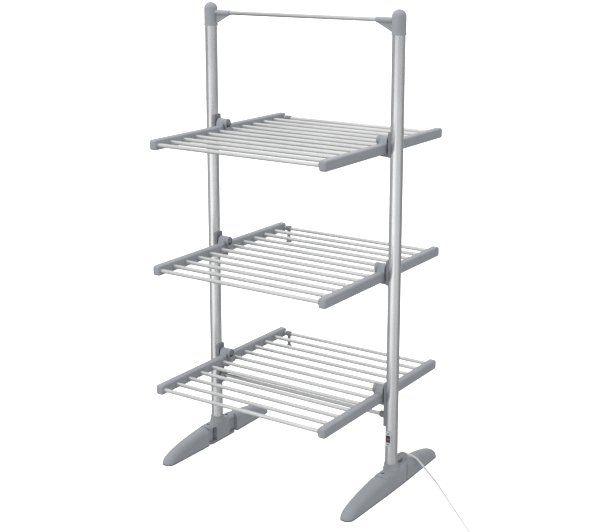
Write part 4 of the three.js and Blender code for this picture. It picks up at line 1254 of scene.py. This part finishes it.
def covered(tree, colour, share, tone):
    """A colour with a grey over a share of it."""
    node = tree.nodes.new("ShaderNodeMix")
    node.data_type = "RGBA"
    tree.links.new(share, node.inputs["Factor"])
    tree.links.new(colour, node.inputs["A"])
    node.inputs["B"].default_value = opaque(tone)
    return node.outputs["Result"]


def make_surround():
    """The soft walls of the studio, which only reflections see: bright and dark strips round the object."""
    bm = bmesh.new()
    bmesh.ops.create_uvsphere(
        bm, u_segments=STUDIO_SEGMENTS, v_segments=STUDIO_SEGMENTS // 2, radius=STUDIO_RADIUS)
    walls = object_from("studio_walls", bm)
    material, tree = new_material("studio_walls")[:2]
    tree.nodes.clear()
    coordinates = tree.nodes.new("ShaderNodeTexCoord")
    place = tree.nodes.new("ShaderNodeSeparateXYZ")
    tree.links.new(coordinates.outputs["Object"], place.inputs["Vector"])
    angle = math_node(tree, "ARCTAN2", place.outputs["Y"], place.outputs["X"])
    turn = math_node(tree, "ADD", math_node(tree, "DIVIDE", angle, 2 * math.pi), 0.5)
    height = math_node(tree, "DIVIDE", place.outputs["Z"], STUDIO_RADIUS)
    colour = grey_ramp(tree, turn, AROUND)
    for way, cover, tone in BANDS:
        share = grey_ramp(tree, math_node(tree, "MULTIPLY", height, way), cover)
        colour = covered(tree, colour, share, tone)
    glow = tree.nodes.new("ShaderNodeEmission")
    tree.links.new(colour, glow.inputs["Color"])
    sideways = math_node(tree, "ADD", math_node(tree, "DIVIDE", place.outputs["X"], 2 * STUDIO_RADIUS), 0.5)
    tree.links.new(grey_ramp(tree, sideways, SIDEWAYS), glow.inputs["Strength"])
    finish = tree.nodes.new("ShaderNodeOutputMaterial")
    tree.links.new(glow.outputs["Emission"], finish.inputs["Surface"])
    material.cycles.emission_sampling = "NONE"
    walls.data.materials.append(material)
    walls.visible_camera = False
    walls.visible_diffuse = False
    walls.visible_shadow = False
    walls.visible_transmission = False


def make_floor():
    """A white floor that the pieces don't mirror."""
    outline = rectangle(*about(0, FLOOR_HALF_SIZE), *about(0, FLOOR_HALF_SIZE))
    floor = object_from("floor", made(prism, outline, "z", -FLOOR_THICKNESS, 0))
    material, tree, shader = new_material("floor_white")
    for name, value in (
            ("Base Color", opaque(FLOOR_TONE)), ("Roughness", FLOOR_ROUGHNESS), ("Specular IOR Level", 0),
            ("Emission Color", opaque(1)), ("Emission Strength", FLOOR_GLOW)):
        shader.inputs[name].default_value = value
    material.cycles.emission_sampling = "NONE"
    floor.data.materials.append(material)
    floor.visible_glossy = False
    floor.visible_diffuse = False


def make_world():
    """Even light from all round, a little stronger from above on the left."""
    world = bpy.data.worlds.new("studio")
    bpy.context.scene.world = world
    world.use_nodes = True
    tree = world.node_tree
    background = tree.nodes["Background"]
    background.inputs["Color"].default_value = opaque(1)
    toward = tree.nodes.new("ShaderNodeVectorMath")
    toward.operation = "DOT_PRODUCT"
    toward.inputs[1].default_value = SKY_LEAN
    coordinates = tree.nodes.new("ShaderNodeTexCoord")
    tree.links.new(coordinates.outputs["Generated"], toward.inputs[0])
    glow = math_node(tree, "ADD", math_node(tree, "MULTIPLY", toward.outputs["Value"], SKY_SLOPE), SKY_MEAN)
    tree.links.new(glow, background.inputs["Strength"])


def make_lamps():
    for name, place, size, power in LAMPS:
        data = bpy.data.lights.new(name, "AREA")
        data.energy = power
        data.size = size
        light = bpy.data.objects.new(name, data)
        light.location = place
        light.rotation_euler = (LAMP_TARGET - Vector(place)).to_track_quat("-Z", "Y").to_euler()
        light.visible_glossy = False
        bpy.context.scene.collection.objects.link(light)


bpy.context.scene.view_settings.view_transform = "Standard"
make_floor()
make_surround()
make_world()
make_lamps()
